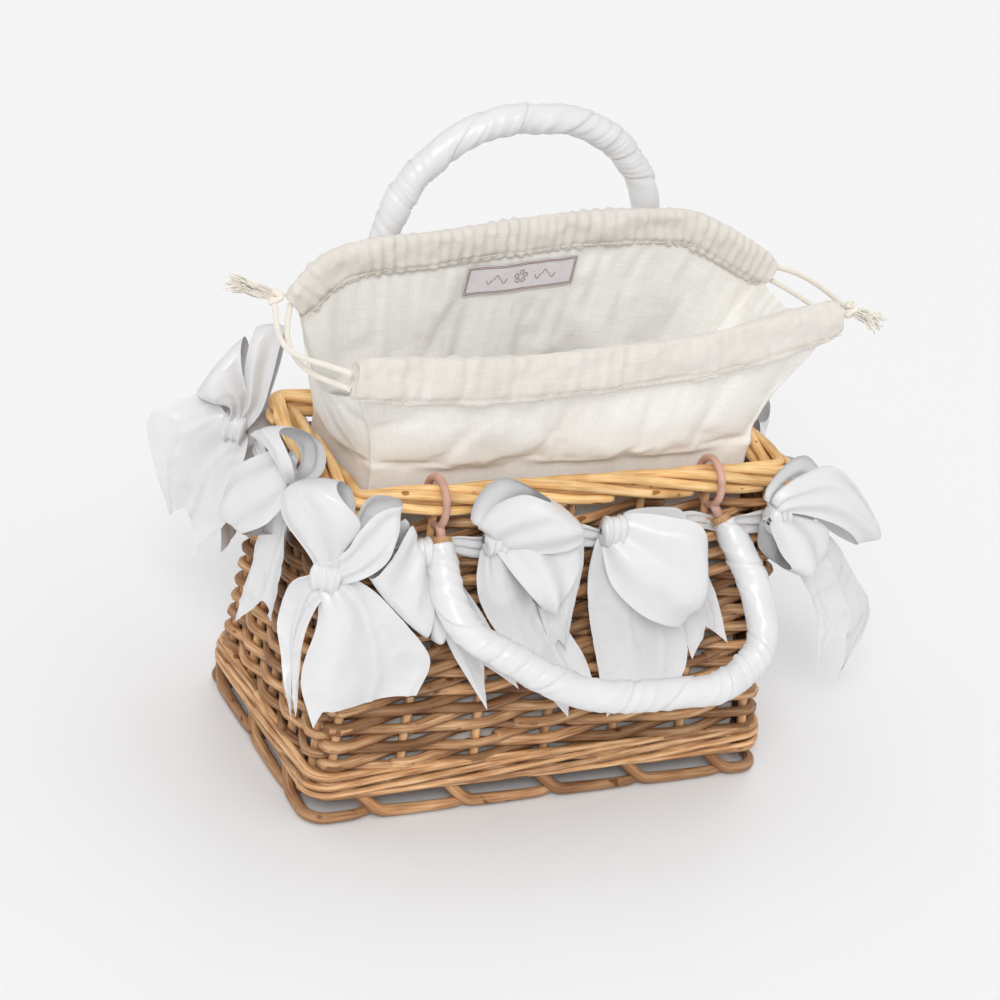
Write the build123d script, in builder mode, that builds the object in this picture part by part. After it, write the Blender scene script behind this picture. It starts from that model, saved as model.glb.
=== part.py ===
"""Flower girl basket: willow basket, sewn drawstring liner, ribbon bows and two swing handles.

Run from the build folder: it writes one STEP file per node into parts/.
Millimetres. +X runs along the basket, -Y is the front, +Z is up, and the foot stands on z = 0.
"""

import os
from math import atan, cos, degrees, radians, sin, sqrt, tan

from build123d import *

os.makedirs("parts", exist_ok=True)

# ---- driving dimensions -------------------------------------------------------------------
FRAME_SHIFT_X = 0.0  # moves the whole object so that its bounding box is centred on the origin
FRAME_SHIFT_Y = 12.5

WALL_BOTTOM = 14.0  # height of the lower edge of the woven walls
WALL_TOP = 163.0  # height of their upper edge, just under the border
HALF_X_BOTTOM = 128.0  # half length to the middle of the wall, at the bottom and the top
HALF_X_TOP = 121.5
HALF_Y_BOTTOM = 70.5  # half depth to the middle of the wall, at the bottom and the top
HALF_Y_TOP = 54.5
WALL_THICK = 7.0
ROW_BULGE = 1.0  # how far each woven row stands out of the wall
ROW_COUNT = 29
STAKE_R = 2.1
STAKE_HOLE_R = 2.2
FRONT_STAKES = [-121.0, -82.0, -41.0, 0.0, 41.0, 82.0, 121.0]
SIDE_STAKES = [-62.0, -31.0, 0.0, 31.0, 62.0]

WALE_R = 2.2  # three thin rods twined around the foot of the walls
WALE_HEIGHTS = [16.4, 21.0, 25.6]
WALE_OUT = 6.85

RIM_HALF_X = 122.5  # middle of the border rods
RIM_HALF_Y = 55.5
RIM_Z = 173.5
RIM_ROD_R = 4.1
RIM_ROD_OFFSET = 4.2

FOOT_HALF_X = 128.0
FOOT_HALF_Y = 75.0
FOOT_ROD_R = 3.4
FOOT_PITCH = 41.0

BASE_BOTTOM = 15.0
BASE_TOP = 20.0
BASE_STICK_R = 2.4

LINER_THICK = 1.6
LINER_LEVELS = [20.4, 158.0, 188.0, 232.0]  # bottom, under the border, over the border, flare
LINER_HALF_X = [122.4, 111.5, 111.5, 133.0]
LINER_FRONT_Y = [65.0, 40.6, 40.6, 62.8]
LINER_BACK_Y = [65.0, 40.6, 40.6, 37.6]

CASING_THICK = 8.0
FRONT_CASING_Y = -62.0
BACK_CASING_Y = 36.0
FRONT_CASING_HIGH = 26.0
BACK_CASING_HIGH = 20.0
# middle line of each gathered casing: distance along X and height
FRONT_CASING_LINE = [(-135, 246), (-72, 243), (-24, 243.5), (54, 249), (103, 261), (130, 268)]
BACK_CASING_LINE = [(-128, 239), (-102, 262), (-53, 269), (14, 276), (73, 277), (100, 273), (148, 248)]

LABEL_LONG = 62.0
LABEL_HIGH = 17.0
LABEL_THICK = 0.8

CORD_R = 1.5
KNOT_R = 4.8

RIBBON_THICK = 1.2
RIBBON_BAND = (147.0, 157.0)

HANDLE_R = 9.0  # outside of the satin wrap
CORE_R = 5.0
LOOP_X = 78.0
LOOP_RING_R = 12.3
LOOP_CORD_R = 2.0
FRONT_LEAN = 38.0  # degrees from straight down, hanging out over the bows
BACK_LEAN = 2.0  # degrees from straight up, leaning in against the liner


def keep(part, name):
    """Label a finished node, shift it into the shared frame and write its STEP file."""
    placed = part.moved(Location((FRAME_SHIFT_X, FRAME_SHIFT_Y, 0)))
    placed.label = name
    export_step(placed, f"parts/{name}.step")


# ---- geometry of the leaning walls --------------------------------------------------------
def half_widths(side):
    """Half distance to the middle of the wall at the bottom and the top."""
    if side in ("front", "back"):
        return HALF_Y_BOTTOM, HALF_Y_TOP
    return HALF_X_BOTTOM, HALF_X_TOP


def lean_angle(side):
    """Inward lean of a wall in radians."""
    bottom, top = half_widths(side)
    return atan((bottom - top) / (WALL_TOP - WALL_BOTTOM))


def facing(side):
    """Direction each side faces, in degrees around Z from the front."""
    return {"front": 0.0, "right": 90.0, "back": 180.0, "left": 270.0}[side]


def wall_plane(side, along, height, out=0.0):
    """Plane on a wall: X to the right seen from outside, Y up the slope, Z outwards."""
    turn = radians(facing(side))
    tilt = lean_angle(side)
    bottom, top = half_widths(side)
    share = (height - WALL_BOTTOM) / (WALL_TOP - WALL_BOTTOM)
    reach = bottom + (top - bottom) * share
    flat_out = Vector(sin(turn), -cos(turn), 0)
    right = Vector(cos(turn), sin(turn), 0)
    normal = flat_out * cos(tilt) + Vector(0, 0, sin(tilt))
    origin = flat_out * reach + right * along + Vector(0, 0, height) + normal * out
    return Plane(origin=origin, x_dir=right, z_dir=normal)


def stake_plane(side, along, height):
    """Plane whose Z runs up a stake that starts at a given place along the wall's foot."""
    other = {"front": "right", "back": "right", "left": "front", "right": "front"}[side]
    bottom, top = half_widths(other)
    start = wall_plane(side, along, WALL_BOTTOM).origin
    end = wall_plane(side, along * top / bottom, WALL_TOP).origin
    run = (end - start).normalized()
    origin = start + run * ((height - WALL_BOTTOM) / run.Z)
    return Plane(origin=origin, z_dir=run)


def corner_wedge(side, outer_x, outer_y, deep, low, high):
    """Trapezium between two mitred corners, extruded upwards, for trimming border rods."""
    gap = 0.1
    if side in ("front", "back"):
        sign = -1 if side == "front" else 1
        outline = [
            (-outer_x + gap, sign * outer_y),
            (outer_x - gap, sign * outer_y),
            (outer_x - deep - gap, sign * (outer_y - deep)),
            (-outer_x + deep + gap, sign * (outer_y - deep)),
        ]
    else:
        sign = -1 if side == "left" else 1
        outline = [
            (sign * outer_x, -outer_y + gap),
            (sign * outer_x, outer_y - gap),
            (sign * (outer_x - deep), outer_y - deep - gap),
            (sign * (outer_x - deep), -outer_y + deep + gap),
        ]
    with BuildPart() as wedge:
        with BuildSketch(Plane.XY.offset(low)):
            Polygon(*outline, align=None)
        extrude(amount=high - low)
    return wedge.part


def row_profile(side, far_end):
    """Cross-section of a woven wall: two ridged faces, one ridge for each row."""
    pitch = (WALL_TOP - WALL_BOTTOM) / cos(lean_angle(side)) / ROW_COUNT
    half = WALL_THICK / 2
    with BuildSketch(far_end) as profile:
        with BuildLine():
            for row in range(ROW_COUNT):
                low = row * pitch
                ThreePointArc((half, low), (half + ROW_BULGE, low + pitch / 2), (half, low + pitch))
                ThreePointArc((-half, low), (-half - ROW_BULGE, low + pitch / 2), (-half, low + pitch))
            Line((half, 0), (-half, 0))
            Line((half, ROW_COUNT * pitch), (-half, ROW_COUNT * pitch))
        make_face()
    return profile.sketch


def wall_cutter(side, out, thick):
    """Big slab whose inner face is a given distance outside the middle of a wall."""
    with BuildPart() as slab:
        with BuildSketch(wall_plane(side, 0, 90, out)):
            Rectangle(420, 420)
        extrude(amount=thick)
    return slab.part


# ---- woven walls, stakes, wale, border and foot -------------------------------------------
SIDES = ["front", "back", "left", "right"]
NEIGHBOURS = {"front": ("left", "right"), "back": ("left", "right")}
NEIGHBOURS.update({"left": ("front", "back"), "right": ("front", "back")})

for side in SIDES:
    stakes = FRONT_STAKES if side in ("front", "back") else SIDE_STAKES
    half_run = 150 if side in ("front", "back") else 90
    start = wall_plane(side, half_run, WALL_BOTTOM)
    section = Plane(origin=start.origin, x_dir=start.z_dir, z_dir=start.x_dir * -1)
    with BuildPart() as woven_wall:
        extrude(row_profile(side, section).faces()[0], amount=2 * half_run, dir=section.z_dir)
        for other in NEIGHBOURS[side]:
            if side in ("front", "back"):
                add(wall_cutter(other, WALL_THICK / 2, 60), mode=Mode.SUBTRACT)
            else:
                inner = -WALL_THICK / 2 - ROW_BULGE - 0.2
                add(wall_cutter(other, inner, 90), mode=Mode.SUBTRACT)
        for along in stakes:
            with Locations(stake_plane(side, along, WALL_BOTTOM - 5)):
                Cylinder(STAKE_HOLE_R, 170, align=(Align.CENTER, Align.CENTER, Align.MIN), mode=Mode.SUBTRACT)
        if side in ("front", "back"):
            for along in (-LOOP_X, LOOP_X):
                with Locations(wall_plane(side, along, WALL_TOP)):
                    Box(5.2, 9.6, 20, mode=Mode.SUBTRACT)
    keep(woven_wall.part, f"{side}_weave")

    with BuildPart() as wall_stakes:
        for along in stakes:
            short = side in ("front", "back") and abs(along) == 82.0
            top = 157.0 if short else 164.4
            foot = stake_plane(side, along, WALL_BOTTOM)
            length = (top - WALL_BOTTOM) / foot.z_dir.Z
            with Locations(foot):
                Cylinder(STAKE_R, length, align=(Align.CENTER, Align.CENTER, Align.MIN))
    keep(wall_stakes.part, f"{side}_stakes")

    with BuildPart() as wale:
        for height in WALE_HEIGHTS:
            middle = wall_plane(side, 0, height, WALE_OUT)
            rod_axis = Plane(origin=middle.origin, z_dir=middle.x_dir)
            with Locations(rod_axis):
                Cylinder(WALE_R, 320)
        wale_x = HALF_X_BOTTOM + 14
        add(corner_wedge(side, wale_x, wale_x - 58.0, 24, 10, 40), mode=Mode.INTERSECT)
    keep(wale.part, f"{side}_wale")

    with BuildPart() as border:
        reach = RIM_HALF_Y if side in ("front", "back") else RIM_HALF_X
        turn = radians(facing(side))
        flat_out = Vector(sin(turn), -cos(turn), 0)
        along_dir = Vector(cos(turn), sin(turn), 0)
        for step_out in (-RIM_ROD_OFFSET, RIM_ROD_OFFSET):
            for step_up in (-RIM_ROD_OFFSET, RIM_ROD_OFFSET):
                middle = flat_out * (reach + step_out) + Vector(0, 0, RIM_Z + step_up)
                with Locations(Plane(origin=middle, z_dir=along_dir)):
                    Cylinder(RIM_ROD_R, 300)
        add(corner_wedge(side, 133.0, 66.0, 24, 150, 200), mode=Mode.INTERSECT)
    keep(border.part, f"{side}_rim")

    with BuildPart() as foot_border:
        reach = FOOT_HALF_Y if side in ("front", "back") else FOOT_HALF_X
        half_run = 123.0 if side in ("front", "back") else 62.0
        count = 6 if side in ("front", "back") else 4
        rail = flat_out * reach + Vector(0, 0, 2.8)
        with Locations(Plane(origin=rail, z_dir=along_dir)):
            Cylinder(FOOT_ROD_R, 320)
        for number in range(count):
            place = -half_run + (number + 0.2) * 2 * half_run / count
            top_point = wall_plane(side, place, WALL_BOTTOM).origin + Vector(0, 0, -2.6)
            low_point = rail + along_dir * (place + 22.0)
            run = low_point - top_point
            with Locations(Plane(origin=top_point, z_dir=run)):
                Cylinder(2.4, run.length, align=(Align.CENTER, Align.CENTER, Align.MIN))
        add(corner_wedge(side, FOOT_HALF_X + 12, FOOT_HALF_Y + 12, 40, 0, 13.9), mode=Mode.INTERSECT)
    keep(foot_border.part, f"{side}_foot")

# ---- woven base ---------------------------------------------------------------------------
base_half_x = HALF_X_BOTTOM - WALL_THICK / 2 - ROW_BULGE - 0.8
base_half_y = HALF_Y_BOTTOM - WALL_THICK / 2 - ROW_BULGE - 1.2
with BuildPart() as base_weave:
    with BuildSketch(Plane.XY.offset(BASE_BOTTOM)):
        Rectangle(2 * base_half_x, 2 * base_half_y)
    extrude(amount=BASE_TOP - BASE_BOTTOM)
    for place in (-50, -25, 0, 25, 50):
        with Locations(Plane(origin=(0, place, BASE_BOTTOM), z_dir=(1, 0, 0))):
            Cylinder(BASE_STICK_R + 0.1, 400, mode=Mode.SUBTRACT)
keep(base_weave.part, "base_weave")

with BuildPart() as base_sticks:
    for place in (-50, -25, 0, 25, 50):
        with Locations(Plane(origin=(0, place, BASE_BOTTOM), z_dir=(1, 0, 0))):
            Cylinder(BASE_STICK_R, 2 * base_half_x)
keep(base_sticks.part, "base_sticks")


# ---- sewn liner ---------------------------------------------------------------------------
def thin_panel(levels, boxes):
    """Ruled thin panel through a row of flat rectangles: (x low, x high, y low, y high) each."""
    with BuildPart() as panel:
        for level, (x_low, x_high, y_low, y_high) in zip(levels, boxes):
            with BuildSketch(Plane.XY.offset(level)):
                with Locations(((x_low + x_high) / 2, (y_low + y_high) / 2)):
                    Rectangle(x_high - x_low, y_high - y_low)
        loft(ruled=True)
    return panel.part


def line_height(line, place):
    """Height of a polyline at a place along X."""
    for (x_low, z_low), (x_high, z_high) in zip(line, line[1:]):
        if x_low <= place <= x_high:
            return z_low + (z_high - z_low) * (place - x_low) / (x_high - x_low)
    return line[0][1] if place < line[0][0] else line[-1][1]


def upright_band(upper, lower, low_y, thick):
    """Upright slab between two lines of (x, z) points, from low_y backwards."""
    with BuildPart() as band:
        with BuildSketch(Plane(origin=(0, low_y + thick, 0), x_dir=(1, 0, 0), z_dir=(0, -1, 0))):
            Polygon(*(list(upper) + list(reversed(lower))), align=None)
        extrude(amount=thick)
    return band.part


front_boxes = []
back_boxes = []
left_boxes = []
right_boxes = []
for half_x, front_y, back_y in zip(LINER_HALF_X, LINER_FRONT_Y, LINER_BACK_Y):
    front_boxes.append((-half_x, half_x, -front_y, -front_y + LINER_THICK))
    back_boxes.append((-half_x, half_x, back_y - LINER_THICK, back_y))
    side_low = -front_y + LINER_THICK + 0.15
    side_high = back_y - LINER_THICK - 0.15
    left_boxes.append((-half_x, -half_x + LINER_THICK, side_low, side_high))
    right_boxes.append((half_x - LINER_THICK, half_x, side_low, side_high))

front_low = [(x, z - FRONT_CASING_HIGH / 2 - 0.1) for x, z in FRONT_CASING_LINE[1:-1]]
front_flap_top = [(-133.0, 232.9)] + front_low + [(129.0, 254.0), (133.0, 254.0)]
front_flap_top = [(x, max(z, LINER_LEVELS[3] - 1.5)) for x, z in front_flap_top]
front_flap_low = [(x, 230.0) for x, _ in front_flap_top]
front_panel = thin_panel(LINER_LEVELS, front_boxes)
with BuildPart() as liner_front:
    add(front_panel)
    add(upright_band(front_flap_top, front_flap_low, -62.8, LINER_THICK))
    casing_low = [(x, z - FRONT_CASING_HIGH / 2 - 0.1) for x, z in FRONT_CASING_LINE]
    casing_high = [(x, z + 60) for x, z in FRONT_CASING_LINE]
    add(upright_band(casing_high, casing_low, -75, 30), mode=Mode.SUBTRACT)
keep(liner_front.part, "liner_front")

with BuildPart() as liner_back:
    add(thin_panel(LINER_LEVELS, back_boxes))
    with BuildSketch(Plane(origin=(0, 37.6, 0), x_dir=(1, 0, 0), z_dir=(0, -1, 0))):
        Polygon((-127, 231.6), (140, 231.6), (140, 290), (-127, 290), align=None)
    extrude(amount=LINER_THICK)
    casing_low = [(x, z - BACK_CASING_HIGH / 2 - 0.1) for x, z in BACK_CASING_LINE]
    casing_low = [(-160, 229.0)] + casing_low + [(170, 232.0)]
    casing_high = [(x, 340) for x, _ in casing_low]
    add(upright_band(casing_high, casing_low, 20, 40), mode=Mode.SUBTRACT)
keep(liner_back.part, "liner_back")

for hand, boxes in (("left", left_boxes), ("right", right_boxes)):
    keep(thin_panel(LINER_LEVELS, boxes), f"liner_{hand}")

with BuildPart() as liner_floor:
    with BuildSketch(Plane.XY.offset(LINER_LEVELS[0])):
        Rectangle(2 * (LINER_HALF_X[0] - LINER_THICK) - 1.0, 2 * (LINER_FRONT_Y[0] - LINER_THICK) - 1.0)
    extrude(amount=LINER_THICK)
keep(liner_floor.part, "liner_floor")


def casing(line, high, middle_y):
    """Gathered tube of cloth around the drawcords, as a plain band with soft edges."""
    upper = [(x, z + high / 2) for x, z in line]
    lower = [(x, z - high / 2) for x, z in line]
    return upright_band(upper, lower, middle_y - CASING_THICK / 2, CASING_THICK)


keep(casing(FRONT_CASING_LINE, FRONT_CASING_HIGH, FRONT_CASING_Y), "front_casing")
keep(casing(BACK_CASING_LINE, BACK_CASING_HIGH, BACK_CASING_Y), "back_casing")

with BuildPart() as sewn_label:
    with Locations((-3, 36.0 - LABEL_THICK / 2 - 0.02, 252.0)):
        Box(LABEL_LONG, LABEL_THICK, LABEL_HIGH)
keep(sewn_label.part, "sewn_label")


# ---- drawcords ----------------------------------------------------------------------------
def route_radii(name, points):
    """Radius for each inner point: 0.45 of the shorter run over the tangent of half the turn."""
    spots = [Vector(*p) for p in points]
    radii = []
    for before, here, after in zip(spots, spots[1:], spots[2:]):
        first = here - before
        second = after - here
        turn = radians(first.get_angle(second))
        radii.append(0.45 * min(first.length, second.length) / tan(turn / 2))
    print(name, "radii", [round(r, 1) for r in radii])
    return radii


def tube(name, points, radius):
    """Plain round cord along straight runs joined by tangent arcs."""
    with BuildPart() as cord:
        with BuildLine() as route:
            FilletPolyline(*points, radius=route_radii(name, points))
        with BuildSketch(Plane(origin=route.line @ 0, z_dir=route.line % 0)):
            Circle(radius)
        sweep()
    length = sum(edge.length for edge in route.edges())
    ratio = cord.part.volume / (length * 3.14159265 * radius**2)
    print(name, "length", round(length, 1), "volume ratio", round(ratio, 4))
    return cord.part


LEFT_TIE = [(-136.5, -62, 250), (-144, -50, 249), (-147, -28, 242), (-147, -2, 236), (-144, 18, 238)]
LEFT_TIE.append((-140, 31.6, 243.1))
LEFT_PASS = [(-136.7, -62, 242), (-139.6, -49, 239), (-141, -28, 233), (-141, -2, 230), (-138, 20, 234)]
LEFT_PASS.append((-129.6, 36, 241))
RIGHT_TIE = [(149.6, 36, 252), (156, 24, 254), (156, 2, 257), (151, -20, 261), (145, -41, 265)]
RIGHT_TIE.append((140.2, -54.5, 268.6))
RIGHT_PASS = [(149.6, 36, 244), (153.6, 23, 244), (152, 2, 247), (146, -22, 252), (139, -46, 258)]
RIGHT_PASS.append((131.7, -62, 262))

keep(tube("left_tie_cord", LEFT_TIE, CORD_R), "left_tie_cord")
keep(tube("left_pass_cord", LEFT_PASS, CORD_R), "left_pass_cord")
keep(tube("right_tie_cord", RIGHT_TIE, CORD_R), "right_tie_cord")
keep(tube("right_pass_cord", RIGHT_PASS, CORD_R), "right_pass_cord")

# a knot and the frayed ends that point away from it: knot middle, direction, length, end radius
TASSELS = {
    "left_tassel": ((-138.5, 36, 245), (-22, 0, 10), 30.0, 5.0),
    "right_tassel": ((138.5, -59, 270), (10, -4, -2), 18.0, 4.6),
}
for name, (knot, direction, length, end_r) in TASSELS.items():
    with BuildPart() as tassel:
        with Locations(Plane(origin=knot, z_dir=direction)):
            Sphere(KNOT_R)
            Cone(2.2, end_r, length, align=(Align.CENTER, Align.CENTER, Align.MIN))
    keep(tassel.part, name)


# ---- ribbon band and bows -----------------------------------------------------------------
SKIN = WALL_THICK / 2 + ROW_BULGE  # outermost reach of the rows
with BuildPart() as ribbon_band:
    for side in SIDES:
        other = "left" if side in ("front", "back") else "front"
        half_run = half_widths(other)[1] + (3.0 if side in ("front", "back") else 0.0)
        middle = (RIBBON_BAND[0] + RIBBON_BAND[1]) / 2
        with BuildSketch(wall_plane(side, 0, middle, SKIN + 0.3)):
            Rectangle(2 * half_run, RIBBON_BAND[1] - RIBBON_BAND[0])
        extrude(amount=RIBBON_THICK)
keep(ribbon_band.part, "ribbon_band")


def bow_plane(spot, turn_deg, tilt_deg, out):
    """Plane a bow lies in: X to its right, Y up, Z outwards, from a spot on the wall."""
    turn = radians(turn_deg)
    tilt = radians(tilt_deg)
    flat_out = Vector(sin(turn), -cos(turn), 0)
    normal = flat_out * cos(tilt) + Vector(0, 0, sin(tilt))
    right = Vector(cos(turn), sin(turn), 0)
    return Plane(origin=Vector(*spot) + normal * out, x_dir=right, z_dir=normal)


def tail_outline(length, start_wide, end_wide):
    """Ribbon tail that runs from its knot along +X and ends in a V notch."""
    notch = 0.4 * end_wide
    return [
        (0, -start_wide / 2),
        (length, -end_wide / 2),
        (length - notch, 0),
        (length, end_wide / 2),
        (0, start_wide / 2),
    ]


def make_bow(spot, turn_deg, tilt_deg, out, loops, tails):
    """Knot, two flattened loops and two tails. Loops and tails are (angle, length, width)."""
    with BuildPart() as bow:
        with BuildSketch(bow_plane(spot, turn_deg, tilt_deg, out + 1.8)):
            RectangleRounded(14, 15, 4)
        extrude(amount=13)
        for number, (angle, length, wide) in enumerate(tails):
            flat = bow_plane(spot, turn_deg, tilt_deg, out + 1.8 + 1.6 * number)
            with BuildSketch(flat):
                with Locations(Location((9.6 * cos(radians(angle)), 9.6 * sin(radians(angle)), 0), angle)):
                    Polygon(*tail_outline(length, 12, wide), align=None)
            extrude(amount=RIBBON_THICK)
        for number, (angle, length, wide) in enumerate(loops):
            flat = bow_plane(spot, turn_deg, tilt_deg, out + 5.2)
            start = 11.0 + length / 2
            with BuildSketch(flat):
                with Locations(Location((start * cos(radians(angle)), start * sin(radians(angle)), 0), angle)):
                    Ellipse(length / 2, wide / 2)
            extrude(amount=9)
    return bow.part


def wall_spot(side, along, height):
    """Point on the outside of the woven rows."""
    origin = wall_plane(side, along, height, SKIN + 0.3).origin
    return (origin.X, origin.Y, origin.Z)


front_tilt = degrees(lean_angle("front"))
side_tilt = degrees(lean_angle("left"))
BOWS = {
    "bow_front_left_corner": (
        (-128.5, -64.5, 146), -42, 6, 0.5,
        [(160, 40, 36), (38, 44, 34)],
        [(-108, 84, 40), (-66, 88, 50)],
    ),
    "bow_front_left": (
        wall_spot("front", -94, 150), 0, front_tilt, 0.0,
        [(176, 12, 18), (234, 26, 24)],
        [(-58, 96, 40), (-84, 70, 34)],
    ),
    "bow_front_middle": (
        wall_spot("front", -44, 152), 0, front_tilt, 6.5,
        [(48, 44, 42), (-80, 42, 46)],
        [(-62, 104, 40), (-95, 80, 38)],
    ),
    "bow_front_right": (
        wall_spot("front", 14, 150), 0, front_tilt, 1.5,
        [(-8, 44, 34), (-64, 52, 36)],
        [(-84, 84, 46), (-60, 88, 44)],
    ),
    "bow_front_right_corner": (
        (121, -63.5, 156), 32, 6, 2.0,
        [(22, 52, 40), (-28, 44, 36)],
        [(-64, 96, 44), (-84, 76, 38)],
    ),
    "bow_left_side": (
        wall_spot("left", 12, 152), 270, side_tilt, 6.5,
        [(164, 40, 36), (80, 28, 32)],
        [(-104, 84, 40), (-84, 66, 38)],
    ),
    "bow_back_left_corner": (
        (-139, 62, 162), 326, 6, 0.5,
        [(156, 26, 30), (103, 34, 34)],
        [(-142, 42, 34), (-113, 68, 36)],
    ),
    "bow_right_front": (
        wall_spot("right", -14, 151), 90, side_tilt, 0.0,
        [(165, 26, 30), (30, 34, 34)],
        [(-102, 80, 42), (-78, 86, 42)],
    ),
    "bow_right_back": (
        (130, 58, 156), 122, 4, 1.0,
        [(150, 36, 34), (26, 40, 38)],
        [(-108, 84, 42), (-76, 84, 42)],
    ),
    "bow_back_right": (
        wall_spot("back", -52, 151), 180, front_tilt, 0.0,
        [(-4, 36, 24), (-52, 38, 34)],
        [(-60, 84, 42), (-88, 84, 42)],
    ),
    "bow_back_middle": (
        wall_spot("back", 16, 151), 180, front_tilt, 8.0,
        [(70, 34, 36), (-8, 34, 32)],
        [(-106, 84, 42), (-80, 90, 42)],
    ),
    "bow_back_left": (
        wall_spot("back", 104, 151), 180, front_tilt, 0.0,
        [(12, 22, 26), (-60, 32, 32)],
        [(-106, 84, 42), (-84, 84, 42)],
    ),
}
for name, (spot, turn_deg, tilt_deg, out, loops, tails) in BOWS.items():
    keep(make_bow(spot, turn_deg, tilt_deg, out, loops, tails), name)


# ---- swing handles ------------------------------------------------------------------------
def handle_plane(side):
    """Plane of a handle: origin on its pivot line, X along the basket, Y towards the grip."""
    if side == "front":
        lean = radians(FRONT_LEAN)
        return Plane(origin=(0, -RIM_HALF_Y, RIM_Z), x_dir=(1, 0, 0), z_dir=(0, cos(lean), -sin(lean)))
    lean = radians(BACK_LEAN)
    return Plane(origin=(0, RIM_HALF_Y, RIM_Z), x_dir=(1, 0, 0), z_dir=(0, -cos(lean), -sin(lean)))


# grip middle lines: distance along X and distance from the pivot line
HANDLE_LINES = {
    "front": [(-78, 62), (-12, 106), (70, 108), (98, 88), (95, 52)],
    "back": [(-72, 160), (72, 160)],
}
HANDLE_RADII = {"front": [34, 100, 44, 26, 70], "back": [70, 70]}


def on_leg(start, target, far):
    """Point on a straight leg at a given distance from the pivot line."""
    share = (far - start[1]) / (target[1] - start[1])
    return (start[0] + (target[0] - start[0]) * share, far)


for side in ("front", "back"):
    flat = handle_plane(side)
    middle = HANDLE_LINES[side]
    left_foot = (-LOOP_X, LOOP_RING_R)
    right_foot = (LOOP_X, LOOP_RING_R)

    def grip_route(far):
        """Route of the grip with its two ends a given distance from the pivot line."""
        first = on_leg(left_foot, middle[0], far)
        last = on_leg(right_foot, middle[-1], far)
        return [flat.from_local_coords(Vector(x, y, 0)) for x, y in [first] + middle + [last]]

    with BuildPart() as core:
        with BuildLine() as route:
            FilletPolyline(*grip_route(18.5), radius=HANDLE_RADII[side])
        with BuildSketch(Plane(origin=route.line @ 0, z_dir=route.line % 0)):
            Circle(CORE_R)
        sweep()
    keep(core.part, f"{side}_handle_core")

    with BuildPart() as bore:
        with BuildLine() as route:
            FilletPolyline(*grip_route(16.0), radius=HANDLE_RADII[side])
        with BuildSketch(Plane(origin=route.line @ 0, z_dir=route.line % 0)):
            Circle(CORE_R + 0.1)
        sweep()

    with BuildPart() as wrap:
        with BuildLine() as route:
            FilletPolyline(*grip_route(35.0), radius=HANDLE_RADII[side])
        with BuildSketch(Plane(origin=route.line @ 0, z_dir=route.line % 0)):
            Circle(HANDLE_R)
        sweep()
        for foot, target in ((left_foot, middle[0]), (right_foot, middle[-1])):
            near = on_leg(foot, target, 22.0)
            far = on_leg(foot, target, 35.0)
            start = flat.from_local_coords(Vector(near[0], near[1], 0))
            end = flat.from_local_coords(Vector(far[0], far[1], 0))
            with Locations(Plane(origin=start, z_dir=end - start)):
                Cone(6.0, HANDLE_R, (end - start).length, align=(Align.CENTER, Align.CENTER, Align.MIN))
        add(bore.part, mode=Mode.SUBTRACT)
    keep(wrap.part, f"{side}_handle_wrap")

    for hand, foot, target in (("left", left_foot, middle[0]), ("right", right_foot, middle[-1])):
        near = on_leg(foot, target, LOOP_RING_R)
        far = on_leg(foot, target, 18.4)
        start = flat.from_local_coords(Vector(near[0], near[1], 0))
        end = flat.from_local_coords(Vector(far[0], far[1], 0))
        ring_middle = flat.from_local_coords(Vector(foot[0], 0, 0))
        with BuildPart() as loop:
            with Locations(Plane(origin=ring_middle, z_dir=(1, 0, 0))):
                Torus(LOOP_RING_R, LOOP_CORD_R)
            with Locations(Plane(origin=start, z_dir=end - start)):
                Cylinder(2.4, (end - start).length, align=(Align.CENTER, Align.CENTER, Align.MIN))
            with Locations(Plane(origin=ring_middle, z_dir=(1, 0, 0))):
                Cylinder(LOOP_RING_R - LOOP_CORD_R, 20, mode=Mode.SUBTRACT)
        keep(loop.part, f"{side}_{hand}_loop")
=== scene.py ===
"""Looks of the flower girl basket: woven willow, sewn cotton liner, satin bows and wrapped handles.

Metres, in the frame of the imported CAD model. Places are written from the middle of the basket itself,
which lies a little behind the frame's origin: at() adds that shift.
"""

from math import cos, exp, pi, radians, sin, sqrt

import bpy
import numpy as np
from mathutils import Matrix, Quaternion, Vector, noise


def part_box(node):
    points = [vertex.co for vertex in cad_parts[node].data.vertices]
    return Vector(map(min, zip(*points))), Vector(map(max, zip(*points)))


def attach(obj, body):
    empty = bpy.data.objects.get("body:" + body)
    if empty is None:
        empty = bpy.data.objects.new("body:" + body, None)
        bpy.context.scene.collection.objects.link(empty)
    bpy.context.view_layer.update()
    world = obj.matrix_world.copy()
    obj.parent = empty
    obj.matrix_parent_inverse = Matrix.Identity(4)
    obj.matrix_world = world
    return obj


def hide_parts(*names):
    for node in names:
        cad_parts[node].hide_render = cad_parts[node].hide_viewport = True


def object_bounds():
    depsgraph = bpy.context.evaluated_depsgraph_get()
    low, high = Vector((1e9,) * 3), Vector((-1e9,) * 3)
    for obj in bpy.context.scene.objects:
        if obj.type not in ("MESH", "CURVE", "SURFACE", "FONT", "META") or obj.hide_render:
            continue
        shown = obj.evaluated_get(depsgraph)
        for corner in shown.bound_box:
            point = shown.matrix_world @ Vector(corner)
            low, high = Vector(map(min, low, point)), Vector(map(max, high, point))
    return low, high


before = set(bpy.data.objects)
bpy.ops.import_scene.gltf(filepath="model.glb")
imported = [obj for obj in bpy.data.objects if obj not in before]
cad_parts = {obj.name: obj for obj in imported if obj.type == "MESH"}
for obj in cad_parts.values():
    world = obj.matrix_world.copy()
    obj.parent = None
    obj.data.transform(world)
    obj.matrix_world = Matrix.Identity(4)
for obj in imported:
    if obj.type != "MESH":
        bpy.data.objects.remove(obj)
cad_low, cad_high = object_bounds()

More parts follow.
